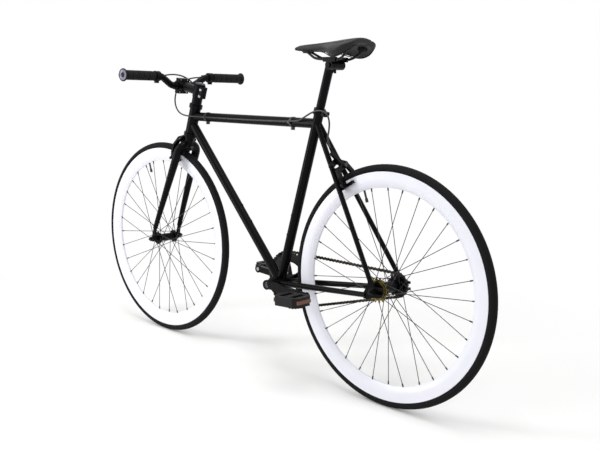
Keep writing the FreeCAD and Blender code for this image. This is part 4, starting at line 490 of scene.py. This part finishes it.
def saddleVinyl():
    # embossed synthetic leather: fine pebbled grain, low sheen
    material, tree, shader, place = openMaterial("embossed saddle vinyl", Metallic=0.0, Roughness=0.46)
    shader.inputs["Specular IOR Level"].default_value = 0.3
    cells = addNode(tree, "ShaderNodeTexVoronoi", {"Vector": place, "Scale": perMm(1.5)}, feature="F1")
    cloud = addNode(tree, "ShaderNodeTexNoise", {"Vector": place, "Scale": perMm(30), "Detail": 4.0})
    tone = addNode(tree, "ShaderNodeValToRGB", {"Fac": cloud.outputs["Fac"]})
    tone.color_ramp.elements[0].color = linear("#0a0a0b")
    tone.color_ramp.elements[1].color = linear("#141416")
    tree.links.new(tone.outputs["Color"], shader.inputs["Base Color"])
    rough = addNode(tree, "ShaderNodeMapRange",
                    {"Value": cloud.outputs["Fac"], "To Min": 0.4, "To Max": 0.55})
    tree.links.new(rough.outputs["Result"], shader.inputs["Roughness"])
    bump = addNode(tree, "ShaderNodeBump",
                   {"Height": cells.outputs["Distance"], "Strength": 0.3, "Distance": 0.0004})
    tree.links.new(bump.outputs["Normal"], shader.inputs["Normal"])
    return material


def phosphatedBolt():
    # grey phosphated bolt heads: dull, darker where oil sits in the coating
    material, tree, shader, place = openMaterial("phosphated bolt steel", Metallic=0.85, Roughness=0.42)
    cloud = addNode(tree, "ShaderNodeTexNoise", {"Vector": place, "Scale": perMm(2.5), "Detail": 4.0})
    tone = addNode(tree, "ShaderNodeValToRGB", {"Fac": cloud.outputs["Fac"]})
    tone.color_ramp.elements[0].color = linear("#26272a")
    tone.color_ramp.elements[1].color = linear("#56585c")
    tree.links.new(tone.outputs["Color"], shader.inputs["Base Color"])
    rough = addNode(tree, "ShaderNodeMapRange",
                    {"Value": cloud.outputs["Fac"], "To Min": 0.34, "To Max": 0.52})
    tree.links.new(rough.outputs["Result"], shader.inputs["Roughness"])
    return material


def barEndPaintedHighlight():
    # painted highlight: the ring of the plug in the grip's end painted a cool lavender grey, a little cloudy
    material, tree, shader, place = openMaterial("bar plug painted highlight", Metallic=0.0, Roughness=0.3)
    cloud = addNode(tree, "ShaderNodeTexNoise", {"Vector": place, "Scale": perMm(3), "Detail": 3.0})
    tone = addNode(tree, "ShaderNodeValToRGB", {"Fac": cloud.outputs["Fac"]})
    tone.color_ramp.elements[0].color = linear("#5d5d72")
    tone.color_ramp.elements[1].color = linear("#77778c")
    tree.links.new(tone.outputs["Color"], shader.inputs["Base Color"])
    return material


def saddleShell():
    # injection moulded nylon shell under the saddle: dark grey, coarse spark eroded texture
    material, tree, shader, place = openMaterial("moulded saddle shell", Metallic=0.0, Roughness=0.55)
    grain = addNode(tree, "ShaderNodeTexNoise", {"Vector": place, "Scale": perMm(2.2), "Detail": 4.0})
    tone = addNode(tree, "ShaderNodeValToRGB", {"Fac": grain.outputs["Fac"]})
    tone.color_ramp.elements[0].position = 0.35
    tone.color_ramp.elements[0].color = linear("#0c0c0d")
    tone.color_ramp.elements[1].position = 0.7
    tone.color_ramp.elements[1].color = linear("#29292c")
    tree.links.new(tone.outputs["Color"], shader.inputs["Base Color"])
    bump = addNode(tree, "ShaderNodeBump",
                   {"Height": grain.outputs["Fac"], "Strength": 0.5, "Distance": 0.0008})
    tree.links.new(bump.outputs["Normal"], shader.inputs["Normal"])
    return material


def stitchThread():
    # bonded nylon sewing thread: black with a soft sheen, two plies showing as a fine twill
    material, tree, shader, place = openMaterial("bonded nylon thread", Metallic=0.0, Roughness=0.5)
    twist = addNode(tree, "ShaderNodeTexWave", {"Vector": place, "Scale": perMm(1.2), "Distortion": 0.6},
                    bands_direction="DIAGONAL")
    tone = addNode(tree, "ShaderNodeValToRGB", {"Fac": twist.outputs["Fac"]})
    tone.color_ramp.elements[0].color = linear("#1b1b1d")
    tone.color_ramp.elements[1].color = linear("#39393c")
    tree.links.new(tone.outputs["Color"], shader.inputs["Base Color"])
    shader.inputs["Sheen Weight"].default_value = 0.2
    return material


finishes = {
    "frame_paint": powderCoat(), "black_alloy": blackAnodised(), "black_steel": blackOxide(),
    "bright_steel": zincPlate(), "gold_freewheel": goldPlate(), "chain_steel": oiledChain(),
    "white_rim": whiteRimPaint(), "spoke_black": blackSpoke(), "tube_rubber": innerTubeRubber(),
    "grip_rubber": gripRubber(), "cable_casing": cableCasing(), "pedal_plastic": mouldedNylon(),
    "reflector": amberReflector(), "saddle_cover": saddleVinyl(),
    "tyre_rubber": tyreRubber("front tyre rubber", frontAxle, tyreLook),
}
darkBolts = phosphatedBolt()
ownFinish = {"rear_tyre": tyreRubber("rear tyre rubber", rearAxle, tyreLook), "crank_bolts": darkBolts,
             "rear_brake_mount": darkBolts, "front_brake_mount": darkBolts}
for part in frame["record"]["subparts"]:
    cadNode = nodes[part["node"]]
    finish = ownFinish.get(part["node"], finishes[part["material_slot"]])
    cadNode.data.materials.clear()
    cadNode.data.materials.append(finish)
print("materials on the CAD nodes")


# Cables, each one smooth run between its lever, clips and calliper

cableLook = {"diameter": 0.005, "steps": 12, "roundness": 5, "smoothAngle": 50}
cables = {
    "frontCable": {
        "node": "front_brake_cable", "length": 0.322,
        "route": [(0.4220, 0.0931, 0.8966), (0.4236, 0.0691, 0.8966), (0.4300, 0.0380, 0.9030),
                  (0.4310, 0.0040, 0.9050), (0.4280, -0.0300, 0.8990), (0.4200, -0.0560, 0.8830),
                  (0.4080, -0.0660, 0.8580), (0.3950, -0.0620, 0.8310), (0.3830, -0.0510, 0.8050),
                  (0.3710, -0.0390, 0.7800), (0.3701, -0.0240, 0.7613), (0.3787, -0.0240, 0.7389)],
    },
    "rearCableLoop": {
        "node": "rear_cable_loop", "length": 0.252,
        "route": [(0.4220, -0.0931, 0.8966), (0.4236, -0.0691, 0.8966), (0.4400, -0.0440, 0.8870),
                  (0.4400, -0.0180, 0.8680), (0.4320, 0.0040, 0.8410), (0.4180, 0.0180, 0.8110),
                  (0.3950, 0.0250, 0.7850), (0.3660, 0.0249, 0.7704), (0.3380, 0.0210, 0.7690)],
    },
    "rearCable": {
        "node": "rear_brake_cable", "length": 0.721,
        "route": [(0.3380, 0.0210, 0.7690), (0.3100, 0.0171, 0.7676), (-0.1500, 0.0171, 0.7676),
                  (-0.1840, 0.0194, 0.7820), (-0.2180, 0.0224, 0.7990), (-0.2500, 0.0224, 0.8070),
                  (-0.2750, 0.0195, 0.7990), (-0.2860, 0.0195, 0.7760), (-0.2860, 0.0210, 0.7500),
                  (-0.2824, 0.0240, 0.7238), (-0.2952, 0.0240, 0.7034)],
    },
}


def cableCurve(name, route, thickness):
    curve = bpy.data.curves.new(name, "CURVE")
    curve.dimensions = "3D"
    spline = curve.splines.new("NURBS")
    spline.points.add(len(route) - 1)
    for point, place in zip(spline.points, route):
        point.co = (*place, 1.0)
    spline.order_u = 3
    spline.use_endpoint_u = True
    spline.resolution_u = cableLook["steps"]
    curve.bevel_depth = thickness / 2
    curve.bevel_resolution = cableLook["roundness"]
    curve.use_fill_caps = True
    made = bpy.data.objects.new(name, curve)
    bpy.context.scene.collection.objects.link(made)
    return made


def centreLine(curveObject):
    # points along the spline itself, read from the curve with its thickness off
    bare = curveObject.data.copy()
    bare.bevel_depth = 0.0
    probe = bpy.data.objects.new("probe", bare)
    bpy.context.scene.collection.objects.link(probe)
    bpy.context.view_layer.update()
    line = bpy.data.meshes.new_from_object(probe.evaluated_get(bpy.context.evaluated_depsgraph_get()))
    points = [tuple(v.co) for v in line.vertices]
    bpy.data.objects.remove(probe)
    return points


def cableMesh(name, settings):
    curveObject = cableCurve(name, settings["route"], cableLook["diameter"])
    path = centreLine(curveObject)
    take(curveObject)
    bpy.ops.object.convert(target="MESH")
    piece = bpy.context.object
    piece.name = name
    bpy.ops.object.shade_smooth_by_angle(angle=math.radians(cableLook["smoothAngle"]))
    piece.data.materials.clear()
    piece.data.materials.append(finishes["cable_casing"])
    return piece, path


for name, body in (("frontCable", "steering"), ("rearCableLoop", None), ("rearCable", "frame")):
    settings = cables[name]
    piece, path = cableMesh(name, settings)
    if body:
        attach(piece, body)
    else:
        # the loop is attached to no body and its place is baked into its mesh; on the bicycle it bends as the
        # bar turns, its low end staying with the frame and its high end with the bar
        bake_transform(piece)
    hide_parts(settings["node"])
print("cables run")


# Grips: moulded rubber with raised blocks in bands, a flange and a dished plug in the end, with a painted
# highlight on the plug's ring

gripLook = {
    "innerEnd": (0.389825, 0.12378, 0.896564), "way": (-0.068, 0.9977, 0.0), "sides": 36,
    "bands": 5, "bandStart": 8.9, "bandPitch": 21.6, "bandLength": 18.6, "body": 15.0, "groove": 13.7,
    "bore": 11.3, "boreEnd": 122.6, "grooveFrom": 0.5, "grooveTo": 2.5, "smoothAngle": 32,
    # raised blocks and the painted highlight on the plug, in metres: how far out the blocks' faces lie, gap,
    # rise, and the plug's reach and the radii of the ring painted as a highlight
    "blockOut": 0.01485, "blockGap": 0.00055, "blockRise": 0.00045,
    "paintedHighlightFrom": 0.1238, "paintedHighlightRadius": (0.0084, 0.0168),
    # the collar, and the flange with the plug, along the grip and out from its middle, in mm
    "collar": [(0.0, 11.3), (0.0, 13.7), (0.8, 15.0), (6.6, 15.0), (7.1, 13.7), (8.4, 13.7)],
    "flange": [(117.0, 14.9), (118.4, 15.8), (119.6, 18.2), (120.4, 19.7), (121.4, 20.3), (123.0, 20.4),
               (124.3, 19.9), (124.9, 18.8), (125.0, 17.9), (124.5, 17.2), (124.2, 16.6), (124.6, 9.2),
               (124.2, 8.2), (123.3, 7.6), (123.2, 3.0)],
}


def gripRings(look):
    rings = list(look["collar"])
    for band in range(look["bands"]):
        low = look["bandStart"] + look["bandPitch"] * band
        high = low + look["bandLength"]
        rings += [(low, look["body"]), ((low + high) / 2, look["body"]), (high, look["body"]),
                  (high + look["grooveFrom"], look["groove"]), (high + look["grooveTo"], look["groove"])]
    return rings + look["flange"]


def oneGrip(look):
    deselect()
    reach = look["boreEnd"]
    radius = look["bore"]
    bpy.ops.mesh.primitive_circle_add(vertices=look["sides"], radius=radius / 1000, fill_type="NGON",
                                      location=(0, 0, reach / 1000))
    grip = bpy.context.object
    bpy.ops.object.transform_apply(location=True, rotation=True, scale=True)
    bpy.ops.object.mode_set(mode="EDIT")
    bpy.ops.mesh.select_all(action="SELECT")
    for along, out in gripRings(look):
        bpy.ops.mesh.extrude_region_move(TRANSFORM_OT_translate={"value": (0, 0, (along - reach) / 1000)})
        bpy.ops.transform.resize(value=(out / radius, out / radius, 1), center_override=(0, 0, along / 1000))
        reach, radius = along, out
    bpy.ops.mesh.select_all(action="SELECT")
    bpy.ops.mesh.normals_make_consistent(inside=False)
    bpy.ops.mesh.select_all(action="DESELECT")
    bpy.ops.object.mode_set(mode="OBJECT")
    start = look["bandStart"] / 1000
    last = (look["bandStart"] + look["bandPitch"] * look["bands"]) / 1000
    # the faces of the bands that look straight out become the blocks
    editFaces(grip, lambda face: math.hypot(face.center.x, face.center.y) > look["blockOut"]
              and start < face.center.z < last and abs(face.normal.z) < 0.1)
    bpy.ops.mesh.inset(thickness=look["blockGap"], depth=look["blockRise"], use_individual=True)
    bpy.ops.object.mode_set(mode="OBJECT")
    bpy.ops.object.shade_smooth_by_angle(angle=math.radians(look["smoothAngle"]))
    grip.data.materials.append(finishes["grip_rubber"])
    grip.data.materials.append(barEndPaintedHighlight())
    # the ring of faces on the end plug takes the painted highlight, the rest the grip rubber
    for face in grip.data.polygons:
        out = math.hypot(face.center.x, face.center.y)
        paintedHighlightRing = face.center.z > look["paintedHighlightFrom"] and look["paintedHighlightRadius"][0] < out < look["paintedHighlightRadius"][1]
        face.material_index = 1 if paintedHighlightRing else 0
    return grip


def bothGrips(look):
    first = oneGrip(look)
    second = ownCopy(first)
    for grip, side in ((first, 1), (second, -1)):
        along = Vector((look["way"][0], look["way"][1] * side, look["way"][2])).normalized()
        up = Vector((0, 0, 1))
        turn = Matrix((up, along.cross(up), along)).transposed().to_4x4()
        end = look["innerEnd"]
        settle(grip, Matrix.Translation((end[0], end[1] * side, end[2])) @ turn)
    grips = joinAll([first, second], "rubberGrips")
    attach(grips, "steering")
    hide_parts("grips")


bothGrips(gripLook)
print("grips moulded")


# Saddle: a padded cover swollen by cloth between its seams, over a hollow moulded shell with rail sockets

saddleLook = {
    "nose": -0.13032, "railLine": 0.946, "length": 256.0,
    # behind the nose, half width, and crown, edge, wing foot and hollow above the rail line, all in mm
    "stations": [(0, 6, 35, 33, 30, 30.5), (11, 14, 39, 33.5, 28, 28.6), (39, 19, 43, 34, 25, 25.6),
                 (89, 23, 46, 35, 24, 25), (134, 35, 49, 35, 20, 28), (168, 56, 51.5, 30, 9, 33),
                 (196, 71, 54, 26, 4, 36), (222, 73, 56, 30, 10, 38), (244, 64, 57, 39, 23, 39),
                 (256, 48, 55.5, 45, 37, 42)],
    # the wings' wall at their feet: share of the half width, added wall, and the most it may be
    "footShare": 0.16, "footWall": 0.002, "footMost": 0.3,
    "voxel": 0.0032, "pressure": 4.0, "frames": 14, "swellCap": 0.0022, "softening": 0.5,
    # seams: place across, width, depth, and the narrowest half width that has them
    "seamShare": 0.68, "seamWidth": 0.0032, "seamDepth": 0.0013, "seamLeastHalf": 0.012,
    # how far up or down a face has to look to be sewn down, in a seam, or part of the shell
    "sewnBelow": -0.1, "seamAbove": 0.3, "shellBelow": -0.25,
    "stitchPitch": 0.0046, "stitchFrom": 0.02, "stitchTo": 0.246, "stitchBeside": 0.0034, "stitchLift": 0.0002,
    "stitchAim": 0.4, "stitchSteepest": 0.2, "dropFrom": 1.2,
    # thread: radius, length, straight share of it, and dip and taper of its ends
    "threadRadius": 0.0005, "threadLength": 0.0032, "threadStraight": 0.6, "threadDip": 0.8, "threadTaper": 0.6,
    "lipRadius": 0.0013,
    # rail sockets: inset, drop and rounding, then middle, and size along, across and up
    "socketInset": 0.0022, "socketDrop": 0.003, "socketRound": 0.0014,
    "sockets": [((-0.352, 0.034, 0.9755), (0.022, 0.017, 0.011)),
                ((-0.352, -0.034, 0.9755), (0.022, 0.017, 0.011)),
                ((-0.179, 0.0, 0.9725), (0.024, 0.027, 0.009))],
}


def saddleAt(x, look):
    # half width, crown, edge, wing foot and hollow of the saddle at that place along it, in metres
    behind = min(max((look["nose"] - x) * 1000, 0.0), look["length"])
    for first, last in zip(look["stations"], look["stations"][1:]):
        if behind <= last[0]:
            t = (behind - first[0]) / (last[0] - first[0])
            half, *heights = (a + (b - a) * t for a, b in zip(first[1:], last[1:]))
            break
    return [half / 1000] + [look["railLine"] + height / 1000 for height in heights]


def footAt(x, look):
    # half the distance between the feet of the two wings
    half = saddleAt(x, look)[0]
    return half - min(look["footShare"] * half + look["footWall"], half * look["footMost"])


def nodeCopy(node, name):
    # a free copy of a CAD node's mesh, welded
    mesh = nodes[node].data.copy()
    mesh.materials.clear()
    copy = bpy.data.objects.new(name, mesh)
    bpy.context.scene.collection.objects.link(copy)
    take(copy)
    bpy.ops.object.mode_set(mode="EDIT")
    bpy.ops.mesh.select_all(action="SELECT")
    bpy.ops.mesh.remove_doubles(threshold=0.00002)
    bpy.ops.object.mode_set(mode="OBJECT")
    return copy


def saddleCover(look):
    cover = nodeCopy("saddle", "saddleCover")
    addModifier(cover, "even", "REMESH", mode="VOXEL", voxel_size=look["voxel"])
    addModifier(cover, "soften", "SMOOTH", factor=look["softening"], iterations=3)
    applyAll(cover)
    rest = [vertex.co.copy() for vertex in cover.data.vertices]
    pins = cover.vertex_groups.new(name="sewn")
    for vertex in cover.data.vertices:
        half = saddleAt(vertex.co.x, look)[0]
        seam = abs(abs(vertex.co.y) - half * look["seamShare"]) < look["seamWidth"]
        if vertex.normal.z < look["sewnBelow"] or seam:
            pins.add([vertex.index], 1.0, "REPLACE")
    cloth = cover.modifiers.new("foamSwell", "CLOTH")
    cloth.settings.use_pressure = True
    cloth.settings.uniform_pressure_force = look["pressure"]
    cloth.settings.effector_weights.gravity = 0.0
    cloth.settings.vertex_group_mass = "sewn"
    cloth.point_cache.frame_start = 1
    cloth.point_cache.frame_end = look["frames"]
    for step in range(1, look["frames"] + 1):
        bpy.context.scene.frame_set(step)
    applyAll(cover)
    bpy.context.scene.frame_set(1)
    for vertex, start in zip(cover.data.vertices, rest):
        move = vertex.co - start
        if move.length > look["swellCap"]:
            vertex.co = start + move.normalized() * look["swellCap"]
    cover.vertex_groups.clear()
    addModifier(cover, "soften", "SMOOTH", factor=look["softening"], iterations=2)
    addModifier(cover, "finer", "SUBSURF", levels=1, render_levels=1)
    applyAll(cover)
    # press the seams in where the top panel meets the sides
    for vertex in cover.data.vertices:
        half = saddleAt(vertex.co.x, look)[0]
        near = abs(abs(vertex.co.y) - half * look["seamShare"]) / look["seamWidth"]
        if near < 1 and vertex.normal.z > look["seamAbove"] and half > look["seamLeastHalf"]:
            vertex.co -= vertex.normal * look["seamDepth"] * (1 - near * near)
    take(cover)
    bpy.ops.object.shade_smooth()
    cover.data.materials.append(finishes["saddle_cover"])
    cover.data.materials.append(saddleShell())
    for face in cover.data.polygons:
        hidden = face.normal.z < look["shellBelow"] and abs(face.center.y) < footAt(face.center.x, look)
        face.material_index = 1 if hidden else 0
    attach(cover, "saddle")
    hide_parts("saddle")
    return cover


def saddleLip(look):
    # the rolled edge of the shell, all round the feet of the wings
    side = [(look["nose"] - station[0] / 1000, footAt(look["nose"] - station[0] / 1000, look),
             look["railLine"] + station[4] / 1000) for station in look["stations"]]
    loop = side + [(x, -y, z) for x, y, z in reversed(side)]
    curveObject = cableCurve("saddleLip", loop, 2 * look["lipRadius"])
    curveObject.data.splines[0].use_endpoint_u = False
    curveObject.data.splines[0].use_cyclic_u = True
    take(curveObject)
    bpy.ops.object.convert(target="MESH")
    lip = bpy.context.object
    bpy.ops.object.shade_smooth()
    lip.data.materials.clear()
    lip.data.materials.append(finishes["pedal_plastic"])
    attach(lip, "saddle")


def saddleSockets(look):
    # moulded sockets that take the ends of the rails
    blocks = []
    for place, size in look["sockets"]:
        deselect()
        bpy.ops.mesh.primitive_cube_add(size=1.0, location=place, scale=size)
        block = bpy.context.object
        bpy.ops.object.transform_apply(location=True, rotation=True, scale=True)
        editFaces(block, lambda face: face.normal.z < -0.5)
        bpy.ops.mesh.inset(thickness=look["socketInset"], depth=0.0)
        bpy.ops.mesh.extrude_region_move(TRANSFORM_OT_translate={"value": (0, 0, -look["socketDrop"])})
        bpy.ops.object.mode_set(mode="OBJECT")
        addModifier(block, "roundEdges", "BEVEL", width=look["socketRound"], segments=3)
        applyAll(block)
        bpy.ops.object.shade_smooth_by_angle(angle=math.radians(40))
        blocks.append(block)
    sockets = joinAll(blocks, "railSockets")
    sockets.data.materials.append(finishes["pedal_plastic"])
    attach(sockets, "saddle")


def oneStitch(look):
    straight = look["threadLength"] * look["threadStraight"]
    dip = -look["threadRadius"] * look["threadDip"]
    deselect()
    bpy.ops.mesh.primitive_cylinder_add(vertices=8, radius=look["threadRadius"], depth=straight,
                                        end_fill_type="NGON", rotation=(0, math.pi / 2, 0))
    stitch = bpy.context.object
    bpy.ops.object.transform_apply(location=True, rotation=True, scale=True)
    for side in (1, -1):
        editFaces(stitch, lambda face: face.normal.x * side > 0.9)
        end = look["threadLength"] / 2 * side
        bpy.ops.mesh.extrude_region_move(TRANSFORM_OT_translate={"value": (end - straight / 2 * side, 0, dip)})
        bpy.ops.transform.resize(value=(1, look["threadTaper"], look["threadTaper"]),
                                 center_override=(end, 0, dip))
        bpy.ops.object.mode_set(mode="OBJECT")
    bpy.ops.object.shade_smooth_by_angle(angle=math.radians(50))
    return stitch


def saddleStitches(cover, look):
    # one row beside each seam, each stitch laid on the cover where it crosses
    first = oneStitch(look)
    first.data.materials.append(stitchThread())
    laid = []
    count = int((look["stitchTo"] - look["stitchFrom"]) / look["stitchPitch"])
    for side in (1, -1):
        for step in range(count):
            x = look["nose"] - look["stitchFrom"] - step * look["stitchPitch"]
            spots = []
            for place in (x, x - look["threadLength"] * look["stitchAim"]):
                y = side * (saddleAt(place, look)[0] * look["seamShare"] - look["stitchBeside"])
                above = Vector((place, y, look["dropFrom"]))
                hit, spot, normal, index = cover.ray_cast(above, Vector((0, 0, -1)))
                if hit:
                    spots.append((spot, normal))
            if len(spots) < 2 or spots[0][1].z < look["stitchSteepest"]:
                continue
            along = (spots[1][0] - spots[0][0]).normalized()
            across = spots[0][1].cross(along).normalized()
            turn = Matrix((along, across, along.cross(across))).transposed().to_4x4()
            stitch = ownCopy(first)
            settle(stitch, Matrix.Translation(spots[0][0] + spots[0][1] * look["stitchLift"]) @ turn)
            laid.append(stitch)
    bpy.data.objects.remove(first)
    row = joinAll(laid, "saddleStitches")
    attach(row, "saddle")
    print("stitches laid,", len(laid))


sewnCover = saddleCover(saddleLook)
saddleLip(saddleLook)
saddleSockets(saddleLook)
saddleStitches(sewnCover, saddleLook)
print("saddle sewn")
